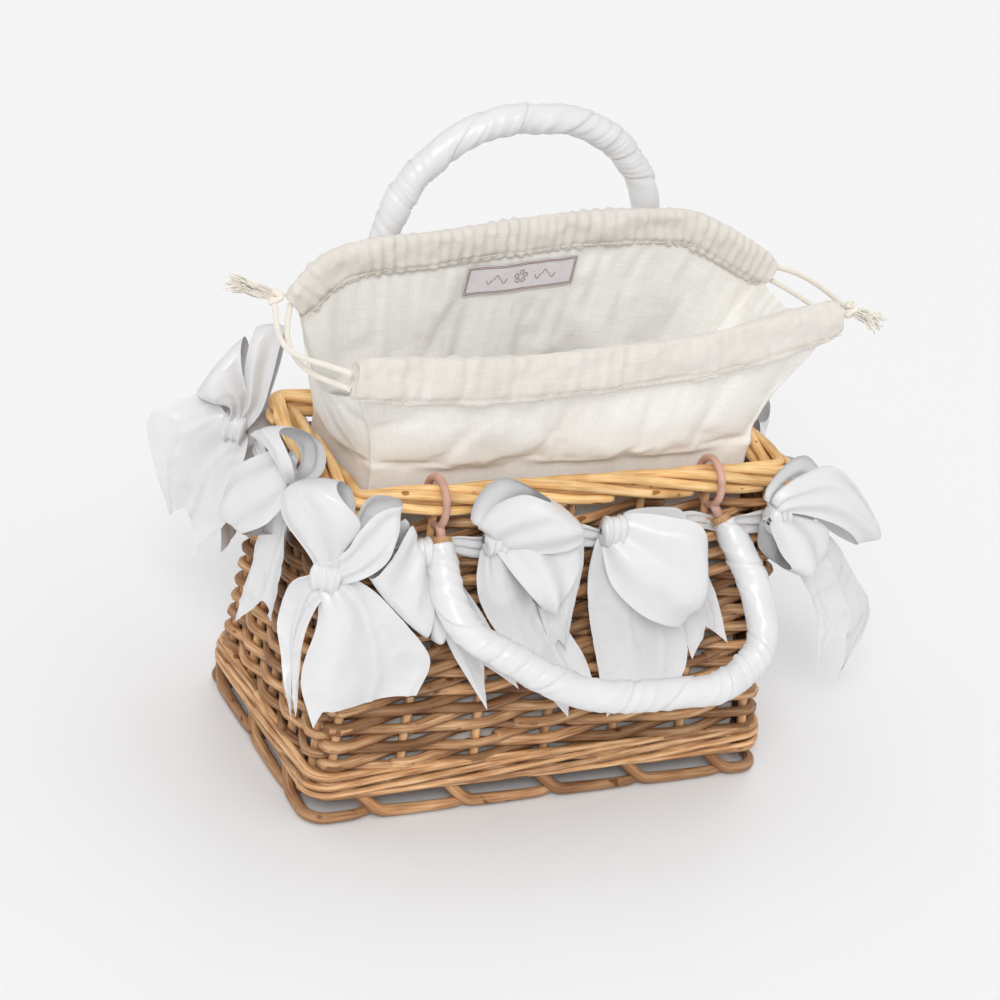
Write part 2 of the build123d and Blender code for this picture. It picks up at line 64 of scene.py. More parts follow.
# ---- sizes read from the frame ------------------------------------------------------------
front_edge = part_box("front_rim")[0].y
back_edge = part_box("back_rim")[1].y
MIDDLE = Vector((0, (front_edge + back_edge) / 2, 0))

RIM_OUT = 0.0083  # from the middle line of the border to its outside
RIM_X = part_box("right_rim")[1].x - RIM_OUT
RIM_Y = (back_edge - front_edge) / 2 - RIM_OUT
RIM_Z = (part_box("left_rim")[0].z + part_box("right_rim")[1].z) / 2

WALL_SKIN = 0.0045  # from the middle of a woven wall to the outside of its rows
WALL_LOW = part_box("front_stakes")[0].z + 0.0005
WALL_HIGH = RIM_Z - 0.0105
FOOT_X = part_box("right_weave")[1].x - WALL_SKIN  # half sizes of the walls at the bottom
FOOT_Y = (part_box("back_weave")[1].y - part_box("front_weave")[0].y) / 2 - WALL_SKIN
TOP_X = RIM_X - 0.0010  # and under the border
TOP_Y = RIM_Y - 0.0010

RNG = np.random.default_rng(11)
UP = (0, 0, 1)


def at(x, y, z):
    """Point given from the middle of the basket."""
    return Vector((x, y, z)) + MIDDLE


def each_side(kind):
    """Names of the four CAD nodes of one kind."""
    return [f"{side}_{kind}" for side in ("front", "back", "left", "right")]


# ---- lines and noise ----------------------------------------------------------------------
def gaps(line):
    """Distances between neighbouring spots."""
    return np.linalg.norm(np.diff(line, axis=0), axis=1)


def distances(line):
    """How far along the line each spot lies."""
    return np.concatenate([[0], np.cumsum(gaps(line))])


def even(line, count):
    """The same line at count + 1 evenly spaced spots."""
    along = distances(line)
    wanted = np.linspace(0, along[-1], count + 1)
    return np.stack([np.interp(wanted, along, line[:, axis]) for axis in range(line.shape[1])], axis=1)


def smooth_line(points, count):
    """Catmull-Rom line through points, with count even steps."""
    p = np.asarray(points, float)
    p = np.vstack([2 * p[0] - p[1], p, 2 * p[-1] - p[-2]])
    fine = []
    for a, b, c, d in zip(p, p[1:], p[2:], p[3:]):
        t = np.linspace(0, 1, 24, endpoint=False)[:, None]
        square = (2 * a - 5 * b + 4 * c - d) * t**2
        cube = (3 * b - a - 3 * c + d) * t**3
        fine.append(0.5 * (2 * b + (c - a) * t + square + cube))
    return even(np.vstack(fine + [p[-2][None]]), count)


def travel_frames(spots, up=None):
    """Distance along a path and two cross directions at each spot, turned as little as possible."""
    along = distances(spots)
    tangent = np.gradient(spots, axis=0)
    tangent /= np.linalg.norm(tangent, axis=1)[:, None]
    if up is not None:
        side = np.cross(tangent, np.asarray(up, float))
        side /= np.linalg.norm(side, axis=1)[:, None]
        return along, side, np.cross(side, tangent)
    guide = np.array([0, 0, 1.0]) if abs(tangent[0][2]) < 0.8 else np.array([1.0, 0, 0])
    side = np.zeros_like(spots)
    held = np.cross(tangent[0], guide)
    for number, way in enumerate(tangent):
        held = held - way * (held @ way)
        held = held / np.linalg.norm(held)
        side[number] = held
    return along, side, np.cross(side, tangent)


def ripple(x, y, z):
    """Smooth noise from -1 to 1."""
    return noise.noise(Vector((x, y, z)))


def wobble(places, scale, seed):
    """Smooth noise from -1 to 1 at each place."""
    shift = Vector((seed * 7.31, seed * 3.77, seed * 5.13))
    values = [noise.noise(Vector(p) / scale + shift) for p in places.reshape(-1, 3)]
    return np.array(values).reshape(places.shape[:-1])


def smoothstep(low, high, value):
    """0 below low, 1 above high and a smooth rise between them."""
    share = np.clip((value - low) / (high - low), 0, 1)
    return share * share * (3 - 2 * share)


def stacked(*parts):
    """Grain places from parts that broadcast together."""
    return np.stack(np.broadcast_arrays(*parts), axis=-1)


# ---- meshes -------------------------------------------------------------------------------
class Cloth:
    """Grids and tubes gathered into one mesh. Each point keeps its grain place and a tone."""

    def __init__(self):
        self.points = []
        self.faces = []
        self.grain = []
        self.tone = []
        self.count = 0

    def grid(self, points, grain, tone=0.5, loop=False):
        """Rows of points joined into quads; loop joins the last column to the first."""
        rows, columns = points.shape[:2]
        index = self.count + np.arange(rows * columns).reshape(rows, columns)
        self.points.append(points.reshape(-1, 3))
        self.grain.append(grain.reshape(-1, 3))
        self.tone.append(np.broadcast_to(tone, (rows, columns)).ravel())
        self.count += rows * columns
        ahead = np.roll(index, -1, axis=1)
        last = columns if loop else columns - 1
        quads = np.stack([index[:-1], ahead[:-1], ahead[1:], index[1:]], axis=-1)[:, :last]
        self.faces.extend(quads.reshape(-1, 4).tolist())
        return index

    def tube(self, spots, radius, tone=0.5, sides=10, capped=True, shift=0.0, up=None, under=0.0):
        """Round rod along spots. radius is one number, a row of them, or one for each spot and side.

        tone is one number or one for each spot; under darkens the underside of the rod with painted shade.
        """
        spots = np.asarray(spots, float)
        along, side, lift = travel_frames(spots, up)
        turn = np.arange(sides) * 2 * pi / sides
        if np.ndim(radius):
            radius = np.reshape(radius, (len(spots), -1))
        reach = np.broadcast_to(radius, (len(spots), sides))
        across = reach * np.cos(turn)
        rise = reach * np.sin(turn)
        points = spots[:, None] + across[..., None] * side[:, None] + rise[..., None] * lift[:, None]
        # painted shade: the underside of each rod is darkened by under
        tones = np.reshape(tone, (-1, 1)) * (1 - under * np.clip(0.15 - np.sin(turn), 0, 1))
        index = self.grid(points, stacked(along[:, None] + shift, across, rise), tones, loop=True)
        if capped:
            for end, ring in ((0, index[0][::-1]), (-1, index[-1])):
                self.points.append(spots[end][None])
                self.grain.append(np.array([[along[end] + shift, 0, 0]]))
                self.tone.append(np.array([np.ravel(tone)[end]]))
                middle = self.count
                self.count += 1
                self.faces.extend([int(a), int(b), middle] for a, b in zip(ring, np.roll(ring, -1)))

    def build(self, name, material, body="basket", replaces=(), slot=None):
        """The finished object, riding on its body."""
        mesh = bpy.data.meshes.new(name)
        mesh.from_pydata(np.concatenate(self.points).tolist(), [], self.faces)
        mesh.attributes.new("grain", "FLOAT_VECTOR", "POINT").data.foreach_set(
            "vector", np.concatenate(self.grain).astype(np.float32).ravel())
        mesh.attributes.new("tone", "FLOAT", "POINT").data.foreach_set(
            "value", np.concatenate(self.tone).astype(np.float32))
        mesh.polygons.foreach_set("use_smooth", [True] * len(mesh.polygons))
        mesh.materials.append(material)
        piece = bpy.data.objects.new(name, mesh)
        bpy.context.scene.collection.objects.link(piece)
        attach(piece, body)
        if replaces:
            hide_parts(*replaces)
        return piece


# ---- materials ----------------------------------------------------------------------------
WHITE = (1, 1, 1)


class Tree:
    """Short ways to add nodes to the node tree of a material or a world."""

    def __init__(self, owner):
        owner.use_nodes = True
        self.nodes = owner.node_tree.nodes
        self.link = owner.node_tree.links.new

    def add(self, kind, **settings):
        """A node with some inputs or properties set."""
        node = self.nodes.new(kind)
        for key, value in settings.items():
            if key in node.inputs:
                node.inputs[key].default_value = value
            else:
                setattr(node, key, value)
        return node

    def ramp(self, source, *stops):
        """Colours along a 0 to 1 source."""
        node = self.nodes.new("ShaderNodeValToRGB")
        while len(node.color_ramp.elements) < len(stops):
            node.color_ramp.elements.new(0.5)
        for element, (place, colour) in zip(node.color_ramp.elements, stops):
            element.position = place
            element.color = (*colour, 1)
        self.link(source, node.inputs["Fac"])
        return node.outputs["Color"]


class Look(Tree):
    """A new material with some inputs of its shader set."""

    def __init__(self, name, **inputs):
        self.material = bpy.data.materials.new(name)
        super().__init__(self.material)
        self.shader = self.nodes["Principled BSDF"].inputs
        self.normal = None
        for key, value in inputs.items():
            self.shader[key.replace("_", " ")].default_value = value

    def noise(self, place, scale, detail):
        """Noise at the places that a socket gives."""
        pattern = self.add("ShaderNodeTexNoise", Scale=scale, Detail=detail)
        self.link(place, pattern.inputs["Vector"])
        return pattern.outputs["Fac"]

    def grain_noise(self, stretch, scale, detail):
        """Noise in the grain coordinates, stretched by a factor along each."""
        grain = self.add("ShaderNodeAttribute", attribute_name="grain")
        mapping = self.add("ShaderNodeMapping", Scale=stretch)
        self.link(grain.outputs["Vector"], mapping.inputs["Vector"])
        return self.noise(mapping.outputs["Vector"], scale, detail)

    def mix(self, kind, share, first, second):
        """Two colours mixed; each is a colour or a socket."""
        node = self.add("ShaderNodeMix", data_type="RGBA", blend_type=kind)
        sockets = {s.identifier: s for s in node.inputs}
        sockets["Factor_Float"].default_value = share
        for value, socket in ((first, sockets["A_Color"]), (second, sockets["B_Color"])):
            if isinstance(value, tuple):
                socket.default_value = (*value, 1)
            else:
                self.link(value, socket)
        return {s.identifier: s for s in node.outputs}["Result_Color"]

    def multiply(self, first, second):
        """Product of two colours."""
        return self.mix("MULTIPLY", 1.0, first, second)

    def colour(self, source):
        """Makes a socket the base colour."""
        self.link(source, self.shader["Base Color"])

    def bump(self, height, strength, distance):
        """Bump from a height socket, on top of the bumps added before."""
        node = self.add("ShaderNodeBump", Strength=strength, Distance=distance)
        self.link(height, node.inputs["Height"])
        if self.normal:
            self.link(self.normal, node.inputs["Normal"])
        self.normal = node.outputs["Normal"]
        self.link(self.normal, self.shader["Normal"])


def willow(name, dark, middle, light):
    """Peeled willow: streaks along the rod, darker knots and a tone for each rod; the tone also holds the
    painted shade laid into the rod meshes.
    """
    look = Look(name, Roughness=0.42, Specular_IOR_Level=0.35)
    streaks = look.grain_noise((0.05, 1, 1), 900, 4)
    blotches = look.grain_noise((1, 2, 2), 38, 2)
    knots = look.grain_noise((0.6, 1, 1), 210, 0)
    tone = look.add("ShaderNodeAttribute", attribute_name="tone").outputs["Fac"]
    colour = look.ramp(streaks, (0.30, dark), (0.52, middle), (0.74, light))
    colour = look.multiply(colour, look.ramp(blotches, (0.32, (0.70, 0.60, 0.52)), (0.58, WHITE)))
    # tone: each rod's own tone, times painted shade from the meshes
    colour = look.multiply(colour, look.ramp(
        tone, (0.0, (0.34, 0.26, 0.20)), (0.5, (0.82, 0.78, 0.74)), (1.0, (1.20, 1.14, 1.04))))
    look.colour(look.multiply(colour, look.ramp(knots, (0.16, (0.42, 0.28, 0.18)), (0.21, WHITE))))
    look.bump(streaks, 0.5, 0.0003)
    look.bump(blotches, 0.35, 0.0006)
    return look.material


def woven_cloth(name, colour, thread, slub=0.5):
    """Plain woven cotton: two sets of threads a given distance apart, with slubs."""
    look = Look(name, Roughness=0.92, Sheen_Weight=0.25, Specular_IOR_Level=0.2)
    grain = look.add("ShaderNodeAttribute", attribute_name="grain")
    weave = look.add("ShaderNodeMath", operation="ADD")
    for number, direction in enumerate(("X", "Y")):
        wave = look.add("ShaderNodeTexWave", bands_direction=direction, Distortion=1.2)
        wave.inputs["Scale"].default_value = 0.314 / thread
        wave.inputs["Detail Scale"].default_value = 2.0
        look.link(grain.outputs["Vector"], wave.inputs["Vector"])
        look.link(wave.outputs["Fac"], weave.inputs[number])
    threads_up = look.grain_noise((1, 0.06, 1), 1400, 2)
    threads_across = look.grain_noise((0.06, 1, 1), 1400, 2)
    shade = look.mix("MIX", 0.5, threads_up, threads_across)
    low = tuple(c * (1 - 0.16 * slub) for c in colour)
    cloudy = look.grain_noise((1, 1, 1), 28, 2)
    look.colour(look.multiply(look.ramp(shade, (0.36, low), (0.62, colour)),
                              look.ramp(cloudy, (0.3, (0.965, 0.955, 0.94)), (0.65, WHITE))))
    look.bump(weave.outputs[0], 0.25, 0.0002)
    look.bump(shade, 0.35, 0.0003)
    look.bump(look.grain_noise((1, 1, 1), 160, 4), 0.22, 0.0012)
    return look.material


def satin(name, colour):
    """Polyester satin: a soft gloss that runs across the ribbon, with faint threads and creases."""
    look = Look(name, Specular_IOR_Level=0.7, Anisotropic=0.5, Subsurface_Weight=0.08,
                Subsurface_Radius=(0.002, 0.002, 0.002))
    threads = look.grain_noise((0.03, 1, 1), 2600, 1)
    soft = look.grain_noise((1, 1, 1), 70, 3)
    rough = look.add("ShaderNodeMapRange")
    rough.inputs["To Min"].default_value = 0.26
    rough.inputs["To Max"].default_value = 0.44
    look.link(threads, rough.inputs["Value"])
    look.link(rough.outputs["Result"], look.shader["Roughness"])
    look.colour(look.multiply(colour, look.ramp(soft, (0.3, (0.965, 0.967, 0.975)), (0.7, WHITE))))
    look.bump(threads, 0.08, 0.0002)
    look.bump(soft, 0.18, 0.0016)
    return look.material


def leather(name, colour):
    """Smooth cord leather with faint pores; reads object coordinates, as it paints CAD nodes."""
    look = Look(name, Roughness=0.5, Specular_IOR_Level=0.4)
    place = look.add("ShaderNodeTexCoord").outputs["Object"]
    wear = look.noise(place, 120, 2)
    light = tuple(min(1, c * 1.12) for c in colour)
    dark = tuple(c * 0.82 for c in colour)
    look.colour(look.ramp(wear, (0.35, dark), (0.65, light)))
    look.bump(look.noise(place, 900, 3), 0.3, 0.0002)
    return look.material


def raw_cane(name):
    """Cut cane of the handle cores, for CAD nodes: fine pores."""
    look = Look(name, Roughness=0.6)
    pores = look.noise(look.add("ShaderNodeTexCoord").outputs["Object"], 1500, 3)
    look.colour(look.ramp(pores, (0.3, (0.30, 0.15, 0.06)), (0.6, (0.62, 0.36, 0.17))))
    look.bump(pores, 0.4, 0.0003)
    return look.material


WALL_WILLOW = willow("wall_willow", (0.37, 0.19, 0.088), (0.70, 0.425, 0.228), (0.95, 0.71, 0.46))
RIM_WILLOW = willow("rim_willow", (0.80, 0.46, 0.19), (1.0, 0.70, 0.34), (1.0, 0.84, 0.52))
FOOT_WILLOW = willow("foot_willow", (0.36, 0.19, 0.085), (0.62, 0.36, 0.185), (0.80, 0.52, 0.30))
COTTON = woven_cloth("liner_cotton", (0.985, 0.968, 0.93), 0.0006)
# painted shade: the casings are sewn from the liner's cotton, and this darker copy stands for the shade in
# their gathers
SHADED_CASING_COTTON = woven_cloth("casing_cotton_painted_shade", (0.80, 0.76, 0.70), 0.0006)
TAPE = woven_cloth("label_tape", (0.80, 0.76, 0.79), 0.0004, slub=0.3)
CORD_COTTON = woven_cloth("cord_cotton", (0.93, 0.88, 0.79), 0.0008)
THREAD = woven_cloth("brown_thread", (0.34, 0.25, 0.21), 0.0004)
SEAM_THREAD = woven_cloth("seam_thread", (0.86, 0.80, 0.71), 0.0004)
SATIN = satin("white_satin", (0.775, 0.772, 0.775))
WRAP_SATIN = satin("wrap_satin", (0.79, 0.788, 0.79))
LEATHER = leather("loop_leather", (0.62, 0.37, 0.29))
CANE = raw_cane("raw_cane")


# ---- the ring that every row of willow follows ----------------------------------------------
CORNER_R = 0.007
LONG = 2 * (FOOT_X - CORNER_R)  # straight runs of the bottom ring, along the front and along a side
SHORT = 2 * (FOOT_Y - CORNER_R)
ARC = CORNER_R * pi / 2
ROUND = 2 * (LONG + SHORT) + 4 * ARC


def ring_base(place):
    """Point and outward direction on the bottom ring at a distance along it, from the front's left end."""
    place = place % ROUND
    turn = 0.0
    for length in (LONG, SHORT, LONG, SHORT):
        out = np.array([sin(turn), -cos(turn)])
        way = np.array([cos(turn), sin(turn)])
        reach = FOOT_Y if abs(out[1]) > 0.5 else FOOT_X
        half = length / 2
        if place <= length:
            return out * reach + way * (place - half), out
        place -= length
        if place <= ARC:
            swing = place / CORNER_R
            middle = out * (reach - CORNER_R) + way * half
            direction = out * cos(swing) + way * sin(swing)
            return middle + direction * CORNER_R, direction
        place -= ARC
        turn += pi / 2
    return ring_base(0.0)  # a rounding error past the last corner


def half_sizes(z):
    """Half length and half depth of the woven wall at a height."""
    share = (z - WALL_LOW) / (WALL_HIGH - WALL_LOW)
    return FOOT_X + (TOP_X - FOOT_X) * share, FOOT_Y + (TOP_Y - FOOT_Y) * share


def ring_point(place, z, out):
    """Point in the frame on the wall's middle at a place and height, moved outwards."""
    spot, direction = ring_base(place)
    half_x, half_y = half_sizes(z)
    x = spot[0] * half_x / FOOT_X + direction[0] * out
    y = spot[1] * half_y / FOOT_Y + direction[1] * out
    return at(x, y, z)


FRONT_STAKES = [-0.121, -0.082, -0.041, 0.0, 0.041, 0.082, 0.121]
SIDE_STAKES = [-0.062, -0.031, 0.0, 0.031, 0.062]


def stake_places():
    """Distance along the ring of each upright stake."""
    places = []
    start = 0.0
    for stakes, length in ((FRONT_STAKES, LONG), (SIDE_STAKES, SHORT)) * 2:
        for along in stakes:
            places.append(start + length / 2 + along)
        start += length + ARC
    return places


STAKES = stake_places()


# ---- woven walls --------------------------------------------------------------------------
ROWS = 29
PITCH = (WALL_HIGH - WALL_LOW) / ROWS
ROD_R = 0.0029
WEAVE_REACH = 0.0040  # how far a rod swings in front of and behind the stakes
RISE_ROWS = 10  # rows that a rod would climb in one full round
ROD_LONG = 0.27
ROD_STEP = 0.0027  # between the spots of a rod
ROD_LAP = 0.006  # how far each rod runs on past its ends
BEHIND_STAKE_SHADE = 0.18  # painted shade: tone of a rod where it passes behind a stake


def weave_swing(place, row):
    """How far a rod lies outside the wall's middle, as it passes stakes in turn."""
    place = place % ROUND
    later = np.searchsorted(STAKES, place)
    before = STAKES[later - 1] if later else STAKES[-1] - ROUND
    after = STAKES[later] if later < len(STAKES) else STAKES[0] + ROUND
    share = (place - before) / (after - before)
    sign = 1 if (later - 1 + row) % 2 else -1
    return sign * (0.5 * (1 - 2 * share) + 0.5 * cos(pi * share))


def weave_walls():
    """Tapered rods that climb round the basket, in front of one stake and behind the next."""
    walls = Cloth()
    for row in range(-RISE_ROWS, ROWS):
        travel = RNG.uniform(0, ROD_LONG)
        place = 0.0
        while place < ROUND:
            length = min(ROD_LONG * RNG.uniform(0.8, 1.15) if place else travel + 0.02, ROUND - place)
            count = max(4, int(length / ROD_STEP))
            places = np.linspace(place - ROD_LAP, place + length + ROD_LAP, count)
            heights = WALL_LOW + (row + 0.5 + RISE_ROWS * places / ROUND) * PITCH
            inside = (heights > WALL_LOW + 0.3 * PITCH) & (heights < WALL_HIGH - 0.2 * PITCH)
            if inside.sum() > 6:
                places, heights = places[inside], heights[inside]
                share = np.linspace(0, 1, len(places))
                thick = ROD_R * (1.12 - 0.30 * share) * (1 + 0.04 * np.sin(places * 260 + row * 3))
                bulge = [weave_swing(p, row) for p in places]
                spots = []
                sway = RNG.uniform(0, 100)
                for p, z, swing, r in zip(places, heights, bulge, thick):
                    drift = ripple(p * 22, row * 1.7, sway) * 0.0009
                    out = swing * WEAVE_REACH + (ROD_R - r) * np.sign(swing)
                    spots.append(ring_point(p, z + drift, out))
                # painted shade: a rod is darker where it passes behind a stake, and under=0.85 darkens its
                # underside
                shade = BEHIND_STAKE_SHADE + (1 - BEHIND_STAKE_SHADE) * smoothstep(-1.0, 0.6, np.array(bulge))
                tone = RNG.uniform(0.05, 1) * shade
                walls.tube(spots, thick, tone=tone, shift=RNG.uniform(0, 9), up=UP, under=0.85)
            place += length
    walls.build("willow_walls", WALL_WILLOW, replaces=each_side("weave"), slot="willow_rod")


def upright_stakes():
    """Stakes that run from the base into the border."""
    stakes = Cloth()
    for place in STAKES:
        sway = RNG.uniform(0, 50)
        spots = []
        for z in np.linspace(WALL_LOW + 0.001, RIM_Z - 0.003, 24):
            lean = ripple(place * 9, z * 25, sway) * 0.0012
            spots.append(ring_point(place + lean, z, lean * 0.4))
        stakes.tube(spots, np.linspace(0.0026, 0.0021, 24), tone=RNG.uniform(0.3, 1))
    stakes.build("willow_stakes", WALL_WILLOW, replaces=each_side("stakes"), slot="willow_stake")


def bottom_wale():
    """Thin rods laid round the foot of the walls in long slanting steps."""
    wale = Cloth()
    rods = 7
    twists = 2  # times that the rods go round each other in one round of the basket
    middle = WALL_LOW + 0.0074
    half_high, half_deep = 0.0062, 0.0015
    rod_r = 0.00185
    for number in range(rods):
        for part in range(4):
            start = part * ROUND / 4 + number * 0.04
            places = np.linspace(start - 0.01, start + ROUND / 4 + 0.012, 110)
            turn = 2 * pi * (number / rods + places / ROUND * twists)
            rows = middle + half_high * np.sin(turn)
            outs = 0.0042 + half_deep * np.cos(turn)
            thick = rod_r * np.linspace(1.1, 0.85, 110)
            thick[[0, -1]] *= 0.55
            spots = [ring_point(p, z, o) for p, z, o in zip(places, rows, outs)]
            tone = RNG.uniform(0.55, 1)
            # painted shade: under=0.95 darkens the undersides of the wale rods
            wale.tube(spots, thick, tone=tone, sides=9, up=UP, shift=number * 3.1, under=0.95)
    wale.build("willow_wale", WALL_WILLOW, replaces=each_side("wale"), slot="willow_rod")


def rim_point(place, angle, reach):
    """Point on the border: angle 0 is outwards and a quarter turn is up."""
    spot, direction = ring_base(place)
    x = spot[0] * RIM_X / FOOT_X + direction[0] * reach * cos(angle)
    y = spot[1] * RIM_Y / FOOT_Y + direction[1] * reach * cos(angle)
    return at(x, y, RIM_Z + reach * sin(angle))


def top_border():
    """Rolled border: each rod comes up inside, crosses the top and tucks under outside."""
    border = Cloth()
    rods = 18
    rod_long = 0.185
    rod_r = 0.0028
    inside, roll = 205, 262  # degrees: where a rod comes up, and how far it goes round the border
    for number in range(rods):
        start = number * ROUND / rods + RNG.uniform(-0.004, 0.004)
        places = np.linspace(start, start + rod_long * RNG.uniform(0.9, 1.1), 90)
        share = np.linspace(0, 1, 90)
        angles = np.radians(inside - roll * share**1.15)
        reach = 0.0060 - 0.0012 * np.exp(-share / 0.08) - 0.0012 * np.exp(-(1 - share) / 0.08)
        reach = reach + 0.0002 * np.sin(places * 90 + number)
        spots = [rim_point(p, a, r) for p, a, r in zip(places, angles, reach)]
        thick = rod_r * (1.06 - 0.20 * share)
        tone = RNG.uniform(0.65, 1)
        # painted shade: under=0.3 darkens the undersides of the border rods
        border.tube(spots, thick, tone=tone, sides=12, up=UP, shift=number * 1.7, under=0.3)
    for angle in (150, 270, 30):  # rods that fill the middle, given a dark tone: painted shade in the gaps of the border
        spots = [rim_point(p, radians(angle), 0.0024) for p in np.linspace(0, ROUND, 260)]
        border.tube(spots, rod_r, tone=0.2, sides=8, up=UP, capped=False)
    border.build("willow_border", RIM_WILLOW, replaces=each_side("rim"), slot="willow_border")


def foot_border():
    """Rods that come down under the wale, bend over and run along the ground, each over the last."""
    foot = Cloth()
    steps = 15
    spacing = ROUND / steps
    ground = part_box("front_foot")[0].z
    rod_r = 0.0033
    for number in range(steps):
        start = number * spacing + 0.012 + RNG.uniform(-0.003, 0.003)
        line = [  # place along the ring, height and distance outwards
            (start, WALL_LOW + 0.003, 0.0006),
            (start + 0.005, WALL_LOW - 0.003, 0.0020),
            (start + 0.013, ground + 0.0050, 0.0034),
            (start + 0.022, ground + 0.0037, 0.0037),
            (start + 0.052, ground + 0.0035, 0.0035),
            (start + 0.060, ground + 0.0035, 0.0018),
            (start + 0.066, ground + 0.0035, -0.0004),
        ]
        spots = [ring_point(*spot) for spot in smooth_line(line, 60)]
        radius = rod_r * np.linspace(1.05, 0.80, 61)
        radius = np.minimum(radius, np.array([s[2] for s in spots]) - ground)
        tone = RNG.uniform(0.2, 0.9)
        # painted shade: under=0.7 darkens the undersides of the foot rods
        foot.tube(spots, radius, tone=tone, sides=12, up=UP, shift=number * 2.3, under=0.7)
    foot.build("willow_foot", FOOT_WILLOW, replaces=each_side("foot"), slot="willow_rod")


def woven_base():
    """Base: rods across the basket, over and under five sticks."""
    base = Cloth()
    low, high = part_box("base_weave")
    middle = (low.z + high.z) / 2
    rows = int((high.x - low.x) / 0.0050)
    for row in range(rows):
        x = low.x + (row + 0.5) * (high.x - low.x) / rows
        ys = np.linspace(low.y, high.y, 60)
        wave = np.cos((ys - MIDDLE.y) / 0.025 * pi) * (0.0022 if row % 2 else -0.0022)
        spots = np.stack([np.full(60, x), ys, middle + wave], axis=1)
        base.tube(spots, 0.0023, tone=RNG.uniform(0, 0.8), sides=8)
    base.build("willow_base", WALL_WILLOW, replaces=["base_weave"], slot="willow_rod")
    sticks = Cloth()
    for place in (-0.050, -0.025, 0.0, 0.025, 0.050):
        xs = np.linspace(low.x, high.x, 60)
        spots = np.stack([xs, np.full(60, MIDDLE.y + place), np.full(60, middle)], axis=1)
        sticks.tube(spots, 0.0024 * (1 + 0.05 * np.sin(xs * 70 + place * 90)), tone=0.4)
    sticks.build("base_rods", WALL_WILLOW, replaces=["base_sticks"], slot="willow_stake")


# ---- liner --------------------------------------------------------------------------------
CASINGS = {
    # middle line of each gathered casing: distance along X and height
    "front": [(-0.135, 0.246), (-0.072, 0.243), (-0.024, 0.2435), (0.054, 0.249), (0.103, 0.261),
              (0.130, 0.268)],
    "back": [(-0.128, 0.239), (-0.102, 0.262), (-0.053, 0.269), (0.014, 0.276), (0.073, 0.277),
             (0.100, 0.273), (0.148, 0.248)],
}
CASING_Y = {side: sum(corner.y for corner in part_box(f"{side}_casing")) / 2 - MIDDLE.y for side in CASINGS}
CASING_HALF = {"front": 0.0125, "back": 0.0100}  # half heights
FRONT_COLUMNS = 72  # of the bag's mesh, along the front or the back
SIDE_COLUMNS = 36
BASKET_ROWS = 44  # of the bag's mesh, from its floor to the border
FREE_ROWS = 22  # and from there to the casings
HELD_BELOW = 0.186  # height under which the basket holds the bag
STITCH_LINE = 0.72  # of a casing's half height, from its middle line down to the stitches
SIDE_DIP = {"left": -0.016, "right": -0.006}  # how far the side panels hang between the casings


def casing_height(side, x):
    """Height of a casing's middle line."""
    line = CASINGS[side]
    return float(np.interp(x, [p[0] for p in line], [p[1] for p in line]))


def liner_rings():
    """Rows of the bag from the floor to the casings: each is four sides of (x, y, z)."""
    levels = [
        # height, half x, front y, back y
        (0.0215, 0.1195, -0.0620, 0.0620),
        (0.0300, 0.1205, -0.0630, 0.0630),
        (0.0900, 0.1150, -0.0520, 0.0520),
        (0.1400, 0.1120, -0.0435, 0.0435),
        (0.1640, 0.1105, -0.0400, 0.0400),
        (0.1800, 0.1100, -0.0390, 0.0390),
        (0.1860, 0.1110, -0.0402, 0.0396),
    ]
    rings = [ring_row(*level) for level in smooth_line(levels, BASKET_ROWS)]
    low = rings[-1]
    top = top_row()
    for number in range(1, FREE_ROWS + 1):
        share = number / FREE_ROWS
        flare = share**1.25
        row = low * (1 - share) + top * share
        row[:, :2] = low[:, :2] * (1 - flare) + top[:, :2] * flare
        rings.append(row)
    return np.stack(rings)


def ring_row(z, half_x, front_y, back_y):
    """Rounded ring at one height, anticlockwise from the front left corner."""
    row = []
    corners = [(-half_x, front_y), (half_x, front_y), (half_x, back_y), (-half_x, back_y)]
    centre = np.array([0, (front_y + back_y) / 2])
    for number, count in enumerate((FRONT_COLUMNS, SIDE_COLUMNS) * 2):
        a = np.array(corners[number])
        b = np.array(corners[(number + 1) % 4])
        for step in range(count):
            share = step / count
            spot = a + (b - a) * share
            nearness = exp(-(min(share, 1 - share) * np.linalg.norm(b - a) / 0.006) ** 1.3)
            pull = centre - spot
            spot = spot + pull / np.linalg.norm(pull) * 0.0030 * nearness
            row.append((spot[0], spot[1], z))
    return np.array(row)


def top_row():
    """Upper edge of the bag: it runs inside both casings and dips between them."""
    lines = []
    for side, inward, drop in (("front", 0.0015, 0.0085), ("back", -0.0005, 0.0060)):
        left, right = CASINGS[side][0][0] + 0.004, CASINGS[side][-1][0] - 0.004
        start, stop = (left, right) if side == "front" else (right, left)
        xs = [start + (stop - start) * step / FRONT_COLUMNS for step in range(FRONT_COLUMNS)] + [stop]
        lines.append([(x, CASING_Y[side] + inward, casing_height(side, x) - drop) for x in xs])
    front, back = lines
    right_side = side_edge(front[-1], back[0], SIDE_COLUMNS, SIDE_DIP["right"], 0.004)
    left_side = side_edge(back[-1], front[0], SIDE_COLUMNS, SIDE_DIP["left"], -0.004)
    return np.array(front[:-1] + right_side + back[:-1] + left_side)


def side_edge(start, stop, count, dip, bow_out):
    """Free edge of a side panel between two casing ends."""
    row = []
    for step in range(count):
        share = step / count
        spot = np.array(start) * (1 - share) + np.array(stop) * share
        sag = sin(pi * share)
        row.append((spot[0] + bow_out * sag, spot[1], spot[2] + dip * sag))
    return row


